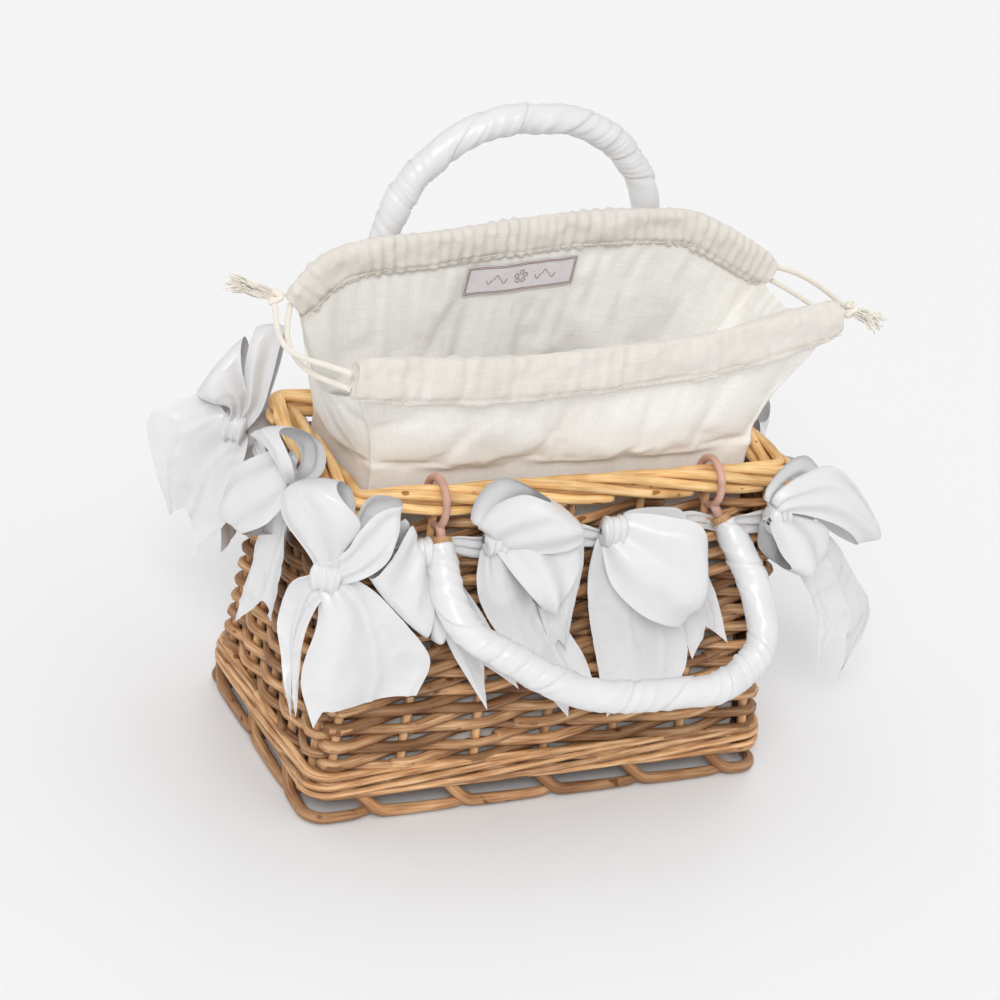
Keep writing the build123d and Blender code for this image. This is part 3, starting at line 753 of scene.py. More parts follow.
def settle(piece, held):
    """Cloth simulation of a sheet, a little larger than its outline, whose held points stay put."""
    frames = 14
    farthest = 0.006  # that any point may move
    group = piece.vertex_groups.new(name="held")
    for index, value in enumerate(held):
        group.add([index], float(value), "REPLACE")
    cloth = piece.modifiers.new("settle", "CLOTH")
    settings = {"vertex_group_mass": "held", "quality": 5, "mass": 0.12, "tension_stiffness": 18,
                "compression_stiffness": 18, "shear_stiffness": 9, "bending_stiffness": 0.12,
                "shrink_min": -0.035}
    for key, value in settings.items():
        setattr(cloth.settings, key, value)
    cloth.settings.effector_weights.gravity = 0.4
    cloth.collision_settings.use_collision = False
    cloth.point_cache.frame_start = 1
    cloth.point_cache.frame_end = frames
    scene = bpy.context.scene
    for number in range(1, frames + 1):
        scene.frame_set(number)
    graph = bpy.context.evaluated_depsgraph_get()
    settled = bpy.data.meshes.new_from_object(piece.evaluated_get(graph), depsgraph=graph)
    start = np.array([v.co for v in piece.data.vertices])
    after = np.array([v.co for v in settled.vertices])
    piece.modifiers.clear()
    scene.frame_set(1)
    move = after - start
    reach = np.linalg.norm(move, axis=1)[:, None]
    move = np.where(reach > farthest, move * farthest / np.maximum(reach, 1e-9), move)
    piece.data.vertices.foreach_set("co", (start + move).astype(np.float32).ravel())
    piece.data.update()
    bpy.data.meshes.remove(settled)


def sew_liner():
    """The bag: one lofted shell from its floor to the casings, with corner seams and folds."""
    rings = liner_rings()
    rows, columns = rings.shape[:2]
    up = distances(rings[:, columns // 8])
    middle_ring = rings[BASKET_ROWS]
    around = np.cumsum(np.linalg.norm(np.diff(middle_ring, axis=0, append=middle_ring[:1]), axis=1))
    outward = rings - np.array([0, -0.005, 0])
    outward[..., 2] = 0
    outward[..., 0] *= 0.25  # mostly towards the front and the back on the long panels
    outward /= np.linalg.norm(outward, axis=2)[..., None]
    gathers = np.sin(around * 2 * pi / 0.0085 + 2.2 * np.sin(around * 41))
    gathers = gathers * (0.6 + 0.4 * np.sin(around * 67 + 1))
    from_top = (up[-1] - up)[:, None]
    fade = np.exp(-from_top / 0.013) * (from_top < 0.07)
    folds = wobble(rings * [1, 1, 0.45], 0.030, 3) * 0.0022 + wobble(rings * [1, 1, 0.7], 0.011, 5) * 0.0006
    reach = gathers * fade * 0.0009 + folds * smoothstep(0.150, 0.200, rings[..., 2])
    for seam in (0, FRONT_COLUMNS, FRONT_COLUMNS + SIDE_COLUMNS, 2 * FRONT_COLUMNS + SIDE_COLUMNS):
        reach[:, seam] += 0.0013
    shaped = rings + outward * reach[..., None]
    shaped += np.array(MIDDLE)
    bag = Cloth()
    bag.grid(shaped, stacked(around[None, :], up[:, None], np.zeros((1, 1))), loop=True)
    floor = shaped[0]
    centre = floor.mean(axis=0)
    inner = np.stack([centre + (floor - centre) * size for size in np.linspace(1.0, 0.02, 30)])[::-1]
    inner[..., 2] += wobble(inner, 0.03, 9) * 0.0006
    bag.grid(inner, inner * [1, 1, 0], loop=True)
    piece = bag.build("liner_bag", COTTON, slot="liner_cotton",
                      replaces=["liner_front", "liner_back", "liner_left", "liner_right", "liner_floor"])
    x, y, z = np.array([v.co for v in piece.data.vertices]).T
    low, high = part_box("sewn_label")
    beside = abs(x - (low.x + high.x) / 2) < 0.034
    held = (z < HELD_BELOW) | beside & (y > low.y - 0.02) & (z > low.z - 0.006)
    held[(rows - 2) * columns:rows * columns] = True
    settle(piece, held)
    piece.modifiers.new("smooth", "SUBSURF").render_levels = 1
    return piece


def gathered_casing(side):
    """A casing: a flattened tube of cloth round the drawcord, with gathers and a stitched hem."""
    half_high = CASING_HALF[side]
    half_thick = 0.0042
    seed, pitch, deep = {"front": (21, 0.0095, 0.00065), "back": (33, 0.0062, 0.00165)}[side]
    line = smooth_line(CASINGS[side], 230)
    along = distances(line)
    way = np.gradient(line, axis=0)
    way /= np.linalg.norm(way, axis=1)[:, None]
    normal = np.stack([-way[:, 1], way[:, 0]], axis=1)
    turn = np.arange(36) * 2 * pi / 36
    pinch = 1 - 0.30 * np.exp(-np.minimum(along, along[-1] - along) / 0.006)
    shape_up = np.sign(np.sin(turn)) * np.abs(np.sin(turn)) ** 0.8
    shape_out = np.sign(np.cos(turn)) * np.abs(np.cos(turn)) ** 0.75
    rise = half_high * pinch[:, None] * shape_up[None, :]
    swell = 1 + 0.22 * np.array([ripple(a * 30, seed, 0) for a in along])[:, None]
    out = half_thick * swell * shape_out[None, :]
    x = line[:, :1] + normal[:, :1] * rise
    z = line[:, 1:] + normal[:, 1:] * rise
    places = np.stack([x, out + CASING_Y[side], z], axis=-1)
    phase = along * 2 * pi / pitch
    for number in range(3):
        phase = phase + 1.1 * np.sin(along * (43 + 31 * number) + seed + number)
    slant = 1.2 * np.sin(along * 25 + seed)
    gather = np.sin(phase[:, None] + slant[:, None] * rise / half_high)
    crumple = wobble(places * [0.6, 1, 1], 0.010, seed) * 0.0022 + wobble(places, 0.0045, seed + 1) * 0.0008
    patches = np.array([0.5 + ripple(a * 45, seed, 3) for a in along]).clip(0.05, 1.4)[:, None]
    height = gather * deep * patches * (0.55 + 0.45 * np.abs(rise / half_high)) + crumple
    hem = np.exp(-((rise / half_high + STITCH_LINE) / 0.07) ** 2)  # the stitches draw the cloth in
    height = height - hem * 0.0011
    flat_side = np.abs(np.cos(turn))
    places[..., 1] += height * np.sign(np.cos(turn)) * (flat_side > 0.15)
    places[..., 2] += np.abs(height) * 0.5 * np.sign(np.sin(turn)) * (flat_side <= 0.35)
    places[..., 1] += (0.0012 * np.sin(along * 33 + seed))[:, None]
    places += np.array(MIDDLE)
    ends = []  # each end is closed by three smaller rings
    for end, inward in ((0, 0.004), (-1, -0.004)):
        ring = places[end]
        middle = ring.mean(axis=0)
        ends.append(np.stack([middle + (ring - middle) * size + np.array([inward * (1.4 - size), 0, 0])
                              for size in (0.04, 0.35, 0.66)]))
    closed = np.concatenate([ends[0], places, ends[1][::-1]])
    past_end = np.array([0.002, 0.004, 0.006])
    closed_along = np.concatenate([-past_end[::-1], along, along[-1] + past_end])
    casing = Cloth()
    grain = stacked(closed_along[:, None], (turn * 0.008)[None, :], np.zeros((1, 1)))
    casing.grid(closed, grain, loop=True)
    # painted shade: the casing gets the darker copy of the liner's cotton
    piece = casing.build(f"{side}_casing_cloth", SHADED_CASING_COTTON, replaces=[f"{side}_casing"],
                         slot="liner_cotton")
    piece.modifiers.new("smooth", "SUBSURF").render_levels = 1
    stitches(f"{side}_casing_stitches", line, normal, -STITCH_LINE * half_high, side, half_thick * 0.86)


def stitches(name, line, normal, offset, side, reach):
    """Running stitches along a casing, on both faces."""
    sewn = Cloth()
    fine = even(line + normal * offset, int(gaps(line).sum() / 0.0034))
    for face in (-1, 1):
        for a, b in zip(fine, fine[1:]):
            spots = []
            for share in (0.1, 0.5, 0.9):
                x, z = a * (1 - share) + b * share
                spots.append(at(x, CASING_Y[side] + face * (reach - 0.0004 + 0.0003 * (share == 0.5)), z))
            sewn.tube(spots, 0.00028, sides=6, tone=0.6)
    sewn.build(name, SEAM_THREAD, slot="liner_cotton")


# ---- label --------------------------------------------------------------------------------
def sewn_label(bag):
    """Blank woven label on the liner, with a stitched border and a small generic flower."""
    low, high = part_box("sewn_label")
    middle = (low + high) / 2
    wide, tall = high.x - low.x, high.z - low.z

    def surface(u, v, inward=0.0):
        """Point on the label, or a little inside or outside it; u and v run from -1 to 1."""
        x = middle.x + u * wide / 2 + v * tall / 2 * 0.05
        z = middle.z + v * tall / 2 + u * wide / 2 * 0.10
        bend = 0.0005 * sin(u * 5.3 + 0.7) * (0.6 + 0.4 * v)
        wall = bag.ray_cast(Vector((x, MIDDLE.y, z)), Vector((0, 1, 0)))[1]
        return Vector((x, wall.y - 0.0014 + bend + inward, z))

    tape = Cloth()
    for inward in (0.0, 0.0005):  # front and back face
        points = np.array([[surface(u, v, inward) for v in np.linspace(-1, 1, 20)]
                           for u in np.linspace(-1, 1, 60)])
        tape.grid(points, points - np.array(middle))
    label = tape.build("label_tape", TAPE, replaces=["sewn_label"], slot="label_tape")
    lines = []
    for inset in (0.90, 0.80):
        u, v = 1 - (1 - inset) * tall / wide, inset
        corners = np.array([(-u, -v), (u, -v), (u, v), (-u, v), (-u, -v)])
        for here, there in zip(corners, corners[1:]):
            lines.append([here + (there - here) * s for s in np.linspace(0, 1, 30)])
    for petal in range(5):
        line = []
        for s in np.linspace(0, 2 * pi, 24):
            reach = 0.30 * (0.55 + 0.45 * (1 - cos(s)))
            swing = 2 * pi * petal / 5 + 0.3 + 0.42 * sin(s)
            line.append((reach * cos(swing) * tall / wide, reach * sin(swing)))
        lines.append(line)
    for side in (-1, 1):
        for wave in range(3):
            start = side * (0.26 + 0.13 * wave)
            high_side = 1 if wave % 2 else -1
            lines.append([(start + side * 0.10 * s, 0.28 * sin(pi * s) * high_side)
                          for s in np.linspace(0, 1, 16)])
    thread = Cloth()
    thread_r = 0.00022
    for line in lines:
        thread.tube([surface(u, v, -0.0001) for u, v in line], thread_r, sides=6)
    thread.build("label_stitching", THREAD, slot="label_tape")


# ---- drawcords ----------------------------------------------------------------------------
ROUTES = {  # control points, from the casing that the cord leaves
    "left_tie": [(-0.1365, -0.062, 0.250), (-0.144, -0.050, 0.249), (-0.147, -0.028, 0.242),
                 (-0.147, -0.002, 0.236), (-0.144, 0.018, 0.238), (-0.140, 0.0316, 0.2431)],
    "left_pass": [(-0.1367, -0.062, 0.242), (-0.1396, -0.049, 0.239), (-0.141, -0.028, 0.233),
                  (-0.141, -0.002, 0.230), (-0.138, 0.020, 0.234), (-0.1296, 0.036, 0.241)],
    "right_tie": [(0.1496, 0.036, 0.252), (0.156, 0.024, 0.254), (0.156, 0.002, 0.257),
                  (0.151, -0.020, 0.261), (0.145, -0.041, 0.265), (0.1402, -0.0545, 0.2686)],
    "right_pass": [(0.1496, 0.036, 0.244), (0.1536, 0.023, 0.244), (0.152, 0.002, 0.247),
                   (0.146, -0.022, 0.252), (0.139, -0.046, 0.258), (0.1317, -0.062, 0.262)],
}


def nurbs_line(points):
    """Points along the NURBS curve whose control points are the route, as Blender draws it."""
    data = bpy.data.curves.new("route", "CURVE")
    data.dimensions = "3D"
    spline = data.splines.new("NURBS")
    spline.points.add(len(points) - 1)
    for spot, point in zip(points, spline.points):
        point.co = (*at(*spot), 1)
    spline.order_u = 3
    spline.use_endpoint_u = True
    spline.resolution_u = 24
    holder = bpy.data.objects.new("route", data)
    bpy.context.scene.collection.objects.link(holder)
    mesh = bpy.data.meshes.new_from_object(holder.evaluated_get(bpy.context.evaluated_depsgraph_get()))
    line = np.array([v.co for v in mesh.vertices])
    bpy.data.objects.remove(holder)
    bpy.data.meshes.remove(mesh)
    return line


def twisted_cord(name, points, nodes):
    """Three strands laid round a route; also gives the route's line and length."""
    lay, lay_r, strand_r = 0.0062, 0.00072, 0.00082  # length of one twist, its radius and the strand's
    line = nurbs_line(points)
    length = float(gaps(line).sum())
    line = even(line, int(length / 0.0005))
    along, side, lift = travel_frames(line)
    cord = Cloth()
    for strand in range(3):
        turn = along / lay * 2 * pi + strand * 2 * pi / 3
        spots = line + lay_r * (np.cos(turn)[:, None] * side + np.sin(turn)[:, None] * lift)
        cord.tube(spots, strand_r, sides=8, tone=0.4 + 0.1 * strand)
    return cord.build(name, CORD_COTTON, replaces=nodes, slot="cotton_cord"), line, length


def tassel(name, knot, way, long, spread, nodes, seed):
    """Overhand knot with frayed cord ends."""
    rng = np.random.default_rng(seed)
    way = Vector(way).normalized()
    side = way.cross(Vector((0, 1, 0))).normalized()
    lift = way.cross(side)
    middle = at(*knot)
    made = Cloth()
    for strand in range(3):
        spots = []
        for s in np.linspace(0, 2 * pi, 60):
            ring = 0.0026 + 0.0009 * cos(3 * s + strand)
            round_it = side * (ring * cos(s + strand)) + lift * (ring * sin(s + strand))
            spots.append(middle + round_it + way * (0.0018 * sin(s * 2 + strand * 2.1)))
        made.tube(spots, 0.0013, sides=8, tone=0.5, capped=False)
    for strand in range(46):
        turn = rng.uniform(0, 2 * pi)
        reach = spread * sqrt(rng.uniform(0.02, 1))
        length = long * rng.uniform(0.75, 1.0)
        bend = rng.uniform(-0.002, 0.002, 3)
        spots = []
        for s in np.linspace(0, 1, 14):
            across = (side * cos(turn + s) + lift * sin(turn + s)) * (0.0012 + (reach - 0.0012) * s**1.4)
            sway = Vector(bend) * sin(pi * s * 1.4)
            drop = Vector((0, 0, 0.002 * s * s))
            spots.append(middle + way * (0.001 + length * s) + across + sway - drop)
        made.tube(spots, 0.00034, sides=5, tone=rng.uniform(0.2, 0.9))
    return made.build(name, CORD_COTTON, replaces=nodes, slot="cotton_cord")


def drawcords():
    """Two cords at each end of the bag, one of them tied in a knot."""
    knots = {
        "left": tassel("left_tassel_frayed", (-0.1385, 0.036, 0.245), (-22, 0, 10), 0.028, 0.0048,
                       ["left_tassel"], 3),
        "right": tassel("right_tassel_frayed", (0.1385, -0.059, 0.270), (10, -4, -2), 0.017, 0.0044,
                        ["right_tassel"], 4),
    }
    for key, points in ROUTES.items():
        piece, line, length = twisted_cord(f"{key}_strands", points, [f"{key}_cord"])


# ---- satin ribbon -------------------------------------------------------------------------
PINCH = 0.012  # width of the gathered ribbon at a knot
CORNER_BEND = 0.020  # radius on which a corner bow bends round its corner


class Bow:
    """One bow: loops, tails and a wrapped knot, laid out in millimetres right of and above its knot."""

    def __init__(self, name, spot, turn_deg, tilt_deg, out, seed, bend_deg=0.0):
        turn, tilt = radians(turn_deg), radians(tilt_deg)
        flat_out = np.array([sin(turn), -cos(turn), 0])
        self.out = flat_out * cos(tilt) + np.array([0, 0, sin(tilt)])
        self.right = np.array([cos(turn), sin(turn), 0])
        self.up = np.cross(self.out, self.right)
        self.knot = np.array(at(*spot)) + self.out * (out + 0.007)
        self.bend = radians(bend_deg)
        self.name = name
        self.cloth = Cloth()
        self.seed = seed
        self.rng = np.random.default_rng(seed)
        self.area = 0.0

    def place(self, x, y, z):
        """Points right, up and out of the knot; a corner bow bends back on both sides."""
        swing = np.clip(x / CORNER_BEND, -self.bend, self.bend)[..., None]
        rest = (np.abs(x) - np.abs(swing[..., 0]) * CORNER_BEND)[..., None]
        across = CORNER_BEND * np.sin(swing) + np.sign(x)[..., None] * rest * np.cos(swing)
        back = CORNER_BEND * (1 - np.cos(swing)) + rest * np.sin(np.abs(swing))
        normal = self.out * np.cos(swing) + self.right * np.sin(swing)
        spots = self.knot + across * self.right - back * self.out
        return spots + y[..., None] * self.up + z[..., None] * normal

    def fan(self, left, right, reach, t):
        """Flat shape between two edges that leave the knot together: reach runs 0 to 1 along them."""
        ends = np.array([left[-1], right[-1]]) / 1000
        way = ends.mean(axis=0) / np.linalg.norm(ends.mean(axis=0))
        side = np.array([-way[1], way[0]]) * PINCH / 2
        if (ends[0] - ends[1]) @ side < 0:
            side = -side
        edges = []
        for start, edge in ((side, left), (-side, right)):
            line = smooth_line([start] + [np.array(p) / 1000 for p in edge], 60)
            spots = [np.interp(reach * 60, np.arange(61), line[:, axis]) for axis in (0, 1)]
            edges.append(np.stack(spots, axis=-1))
        share = ((t + 1) / 2)[..., None]
        return edges[0] * (1 - share) + edges[1] * share, way

    def crumple(self, points):
        """Soft dents and a few sharper creases."""
        soft = wobble(points, 0.021, self.seed) * 0.0016
        sharp = (1 - np.abs(wobble(points, 0.016, self.seed + 50)) * 2.4).clip(0, 1) ** 3 * 0.0008
        return soft + sharp

    def loop(self, left, right, puff=0.020, lift=0.006, bulge=0.002, folds=1.0):
        """A loop between two edges: it leaves the knot behind, turns over and comes back in front."""
        s, t = np.meshgrid(np.linspace(0, 1, 65), np.linspace(-1, 1, 33), indexing="ij")
        reach = np.sin(pi * s) ** 0.9
        flat, way = self.fan(left, right, reach, t)
        phase = self.rng.uniform(0, 6)
        front = smoothstep(0.42, 0.62, s)
        spoke = np.cos(folds * 2 * pi * t + phase + 0.8 * reach)
        height = lift * reach - 0.5 * puff * np.sin(2 * pi * s)
        height += spoke * 0.0022 * (1 - reach) * reach**0.5 * 1.8
        height += np.cos(folds * pi * t + 2 * phase) * 0.0022 * front * reach
        height += (1 - t**2) * puff * 0.34 * reach * (front - 0.35)
        rim = bulge * (1 - t**2) * reach**3
        x = flat[..., 0] + way[0] * rim
        y = flat[..., 1] + way[1] * rim
        points = self.place(x, y, height)
        points += (self.crumple(points) * reach**0.6)[..., None] * self.out
        self.sew(points)

    def tail(self, left, right, out=(0.0, 0.002), notch=0.25, cut=0.0):
        """A tail between two edges that ends in a notch; cut moves the notch to one side."""
        s, t = np.meshgrid(np.linspace(0, 1, 61), np.linspace(-1, 1, 33), indexing="ij")
        depth_at = 1 - np.where(t < cut, (cut - t) / (cut + 1), (t - cut) / (1 - cut))
        reach = s * (1 - notch * depth_at)
        flat = self.fan(left, right, reach, t)[0]
        phase = self.rng.uniform(0, 6)
        near = np.exp(-reach / 0.16)
        height = out[0] * np.sin(pi * reach) + out[1] * reach
        height += 0.0022 * near * np.cos(3.2 * pi * t + phase)
        height += 0.0030 * (1 - near) * np.cos(pi * t + phase + 1.4 * reach) * (1 - 0.35 * reach)
        height += 0.0012 * (1 - np.abs(np.sin(1.3 * pi * t + phase + 2.2 * reach))) ** 4 * (1 - near)
        points = self.place(flat[..., 0], flat[..., 1], height)
        points += (self.crumple(points) * (1 - near))[..., None] * self.out
        self.sew(points)

    def sew(self, points):
        """Adds a grid of points; its grain runs along the ribbon."""
        down = np.linalg.norm(np.diff(points, axis=0), axis=2)
        over = np.linalg.norm(np.diff(points, axis=1), axis=2)
        along = np.cumsum(np.vstack([np.zeros(points.shape[1]), down]), axis=0) + self.rng.uniform(0, 5)
        across = np.cumsum(np.hstack([np.zeros((len(points), 1)), over]), axis=1)
        self.cloth.grid(points, np.stack([along, across, along * 0], axis=-1))
        self.area += float((down[:, 1:] * over[1:]).sum())

    def wrap_knot(self):
        """Ribbon drawn tight round the middle, in pleats that run over it."""
        wide, high, deep = 0.014, 0.0155, 0.0115
        turn, w = np.meshgrid(np.linspace(0, 2 * pi, 49)[:-1], np.linspace(-1, 1, 25), indexing="ij")
        waist = 1 - 0.10 * np.cos(pi * w) - 0.82 * np.abs(w) ** 7
        ridges = 0.0006 * np.cos(3.5 * pi * w + 1.2 * np.sin(turn + self.seed))
        ridges = ridges + 0.0004 * np.cos(7 * pi * w + turn)
        x = w * wide / 2 * (1 + 0.05 * np.sin(2 * turn))
        y = (high / 2 * waist + ridges) * np.sin(turn)
        z = (deep / 2 * waist + ridges) * np.cos(turn) + 0.001
        points = self.place(x, y, z)
        grain = np.stack([turn * 0.007, w * 0.02, w * 0], axis=-1)
        self.cloth.grid(np.swapaxes(points, 0, 1), np.swapaxes(grain, 0, 1), loop=True)
        self.area += 0.045 * wide

    def finish(self):
        """Adds the knot and makes the piece."""
        self.wrap_knot()
        piece = self.cloth.build(f"{self.name}_ribbon", SATIN, replaces=[self.name], slot="satin_ribbon")


def wall_spot(side, along, height):
    """Point on the outside of a wall: along it to the right as seen from outside, at a height."""
    a = radians({"front": 0.0, "right": 90.0, "back": 180.0, "left": 270.0}[side])
    half_x, half_y = half_sizes(height)
    reach = (half_y if side in ("front", "back") else half_x) + (WALL_SKIN + 0.0003)
    return (sin(a) * reach + cos(a) * along, -cos(a) * reach + sin(a) * along, height)


FRONT_TILT = 6.1  # degrees that the walls lean inwards
SIDE_TILT = 2.5


def front_bows():
    """Bows along the front and on its two corners."""
    bow = Bow("bow_front_left_corner", (-0.1310, -0.0600, 0.141), -42, 6, 0.001, 1, bend_deg=42)
    bow.tail([(-22, -14), (-25, -36), (-13, -60), (-4, -80)], [(-2, -18), (-5, -42), (-2, -78)], cut=-0.3)
    bow.tail([(0, -24), (-2, -54), (6, -80)], [(20, -2), (44, -22), (60, -42), (57, -62)],
             (0.004, 0.004), 0.12, -0.8)
    bow.loop([(-8, 10), (-18, 26), (-20, 42)], [(6, 16), (9, 36), (0, 53)], lift=0.008)
    bow.loop([(6, 18), (9, 32), (14, 45), (26, 47)], [(12, 2), (20, 14), (24, 30)], 0.016, 0.010)
    bow.finish()

    bow = Bow("bow_front_left", wall_spot("front", -0.090, 0.152), 0, FRONT_TILT, 0.001, 2)
    bow.tail([(10, -24), (22, -54), (46, -90)], [(32, -28), (50, -56), (63, -80)], notch=0.22)
    bow.loop([(-8, 18), (-19, 6), (-29, -8)], [(4, -2), (6, -22), (4, -43)], 0.014, 0.006)
    bow.loop([(0, -10), (4, -32), (9, -46)], [(14, -12), (20, -32), (17, -47)], 0.012, 0.004, folds=0.8)
    bow.finish()

    bow = Bow("bow_front_middle", wall_spot("front", -0.051, 0.158), 0, FRONT_TILT, 0.0065, 3)
    bow.tail([(-7, -10), (-6, -30), (10, -56), (52, -103)], [(22, -10), (40, -44), (58, -70), (70, -98)],
             notch=0.18)
    bow.tail([(10, -2), (24, -32), (42, -71)], [(42, 6), (50, -14), (48, -40), (49, -70)],
             (0.004, 0.000), 0.14, -0.3)
    bow.loop([(-5, 0), (8, -17), (26, -37)], [(20, 8), (38, 0), (42, -16), (34, -36)], 0.018, 0.006)
    bow.loop([(-14, 10), (-9, 24), (4, 31), (22, 24)], [(6, -6), (24, -4), (43, 4)],
             0.024, 0.010, 0.003, folds=1.2)
    bow.finish()

    bow = Bow("bow_front_right", wall_spot("front", 0.017, 0.156), 0, FRONT_TILT, 0.002, 4)
    bow.tail([(16, -18), (46, -54), (60, -80)], [(44, -8), (68, -40), (80, -72)], (-0.002, -0.001), 0.16)
    bow.tail([(-8, -8), (-9, -28), (-4, -56), (12, -108)], [(24, -14), (46, -50), (56, -76), (52, -98)],
             (0, 0), 0.14, -0.2)
    bow.loop([(8, 9), (26, 9), (44, 4), (50, -20)], [(-5, -10), (0, -28), (18, -44), (43, -52)],
             0.022, 0.010, 0.003)
    bow.finish()

    bow = Bow("bow_front_right_corner", (0.1075, -0.0640, 0.158), 22, 6, 0.003, 5)
    bow.tail([(12, -26), (30, -50), (42, -70), (48, -102)], [(46, -22), (74, -54), (92, -82), (68, -118)],
             (0.004, 0.006), 0.26, -0.35)
    bow.loop([(-12, 15), (4, 25), (30, 25), (71, -18)], [(0, 4), (30, -6), (56, -26)],
             0.024, 0.012, folds=1.2)
    bow.loop([(-14, 2), (-12, -12), (0, -26)], [(28, -8), (28, -20), (16, -30)], 0.018, 0.010, 0.003)
    bow.finish()


def back_bows():
    """Bows along the back and on the right, which are like those in front."""
    places = [
        ("bow_right_front", wall_spot("right", -0.014, 0.153), 90, SIDE_TILT, 0.0, 6),
        ("bow_right_back", (0.130, 0.058, 0.156), 122, 4, 0.001, 7),
        ("bow_back_right", wall_spot("back", -0.052, 0.153), 180, FRONT_TILT, 0.0, 8),
        ("bow_back_middle", wall_spot("back", 0.016, 0.154), 180, FRONT_TILT, 0.0075, 9),
        ("bow_back_left", wall_spot("back", 0.104, 0.152), 180, FRONT_TILT, 0.0, 10),
    ]
    for name, spot, turn, tilt, out, seed in places:
        bow = Bow(name, spot, turn, tilt, out, seed)
        lean = 8 if seed % 2 else -6
        bow.tail([(-14, -24), (-22, -52), (-28 + lean, -84)], [(6, -26), (10, -54), (4 + lean, -92)],
                 notch=0.24)
        bow.tail([(-2, -26), (2, -54), (lean, -86)], [(20, -22), (32, -50), (36 + lean, -78)],
                 (0.003, 0.002), 0.22, 0.2)
        if name in ("bow_back_left", "bow_back_right"):  # these leave room for the lowered handle
            bow.loop([(-8, -8), (-18, -20), (-25, -36)], [(6, -14), (6, -30), (-4, -44)], 0.010, 0.003)
        else:
            bow.loop([(-14, 16), (-32, 16), (-40, 2)], [(-12, -10), (-26, -20), (-36, -22)], 0.018, 0.006)
        bow.loop([(12, 14), (30, 15), (42, 2)], [(10, -12), (22, -26), (32, -28)], 0.020, 0.007)
        bow.finish()


def left_bows():
    """The bow that stands off the back left corner and the one on the left side."""
    bow = Bow("bow_back_left_corner", (-0.139, 0.062, 0.162), 326, 6, 0.001, 11)
    bow.tail([(-12, 15), (-30, 10), (-45, -8), (-26, -56)], [(8, -6), (7, -22), (4, -50), (-12, -74)],
             (0.002, 0.003), 0.2)
    bow.loop([(-2, 12), (-10, 15), (-21, 17)], [(6, 20), (2, 36), (-1, 51)], 0.020, 0.006)
    bow.loop([(3, 16), (3, 38), (5, 58)], [(14, 14), (18, 36), (20, 60)], 0.016, 0.006, folds=0.8)
    bow.finish()

    bow = Bow("bow_left_side", wall_spot("left", 0.014, 0.164), 270, SIDE_TILT, 0.0065, 12)
    bow.tail([(-18, -30), (-24, -58), (-28, -96)], [(10, -20), (14, -46), (14, -70)], (0.000, 0.001), 0.16)
    bow.loop([(-8, 16), (-28, -4), (-34, -34)], [(16, 2), (14, -14), (-8, -32)], 0.026, 0.008)
    bow.loop([(0, 14), (-14, 19), (-26, 17)], [(26, 20), (24, 32), (6, 36)], 0.018, 0.008)
    bow.finish()


def ribbon_round_basket():
    """The gathered ribbon that ties the bows together, under the border."""
    rows, columns = 520, 15
    low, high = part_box("ribbon_band")
    middle = (low.z + high.z) / 2
    points = np.zeros((rows, columns, 3))
    grain = np.zeros((rows, columns, 3))
    for row in range(rows):
        place = ROUND * row / (rows - 1)
        spot = ring_point(place, middle, WALL_SKIN)
        clear = smoothstep(0.012, 0.026, abs(abs(spot[0] - MIDDLE[0]) - LOOP_X))  # 0 behind a handle's end
        sway = place * 2 * pi / ROUND
        sag = 0.0018 * sin(9 * sway + 1) + 0.0010 * sin(21 * sway)
        wide = 0.0105 + 0.0022 * sin(14 * sway + 0.5)
        tip = 0.35 * sin(6 * sway)
        for column in range(columns):
            t = 2 * column / (columns - 1) - 1
            pleat = 0.0011 * cos(2.6 * pi * t + 1.4 * sin(10 * sway)) + 0.0006 * cos(5 * pi * t + 13 * sway)
            z = middle + sag + t * wide / 2 * cos(tip)
            fold = (pleat + t * wide / 2 * sin(tip) * 0.4) * (0.4 + 0.6 * clear)
            points[row, column] = ring_point(place, z, WALL_SKIN + 0.0020 + 0.0028 * clear + fold)
            grain[row, column] = (place, t * wide / 2, 0)
    band = Cloth()
    band.grid(points, grain)
    piece = band.build("ribbon_round_basket", SATIN, replaces=["ribbon_band"], slot="satin_ribbon")


# ---- handles ------------------------------------------------------------------------------
LOOP_X = (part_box("front_right_loop")[0].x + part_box("front_right_loop")[1].x) / 2
HANDLES = {
    # lean from the vertical, up or down, corner points (along X, from the pivot line) and their radii
    "front": (38.0, -1, [(-0.078, 0.062), (-0.012, 0.106), (0.070, 0.108), (0.098, 0.088), (0.095, 0.052)],
              [0.034, 0.100, 0.044, 0.026, 0.070]),
    "back": (2.0, 1, [(-0.072, 0.160), (0.072, 0.160)], [0.070, 0.070]),
}
LOOP_RING_R = 0.0123  # middle line of the leather loops
WRAP_R = {"front": 0.0081, "back": 0.0075}
WRAP_END_R = 0.0060
WRAP_START = 0.0215  # from the pivot line
WRAP_PITCH = 0.026  # between turns of the ribbon


def rounded(points, radii):
    """Straight runs joined by arcs, as closely spaced points."""
    p = [np.array(q, float) for q in points]
    line = [p[0]]
    for before, here, after, radius in zip(p, p[1:], p[2:], radii):
        a = (before - here) / np.linalg.norm(before - here)
        b = (after - here) / np.linalg.norm(after - here)
        half = np.arccos(np.clip(a @ b, -1, 1)) / 2
        reach = radius / np.tan(half)
        middle = here + (a + b) / np.linalg.norm(a + b) * radius / sin(half)
        start, stop = here + a * reach - middle, here + b * reach - middle
        swing = pi - 2 * half
        for share in np.linspace(0, 1, 40):
            turned = start * sin((1 - share) * swing) + stop * sin(share * swing)
            line.append(middle + turned / sin(swing))
    return np.array(line + [p[-1]])


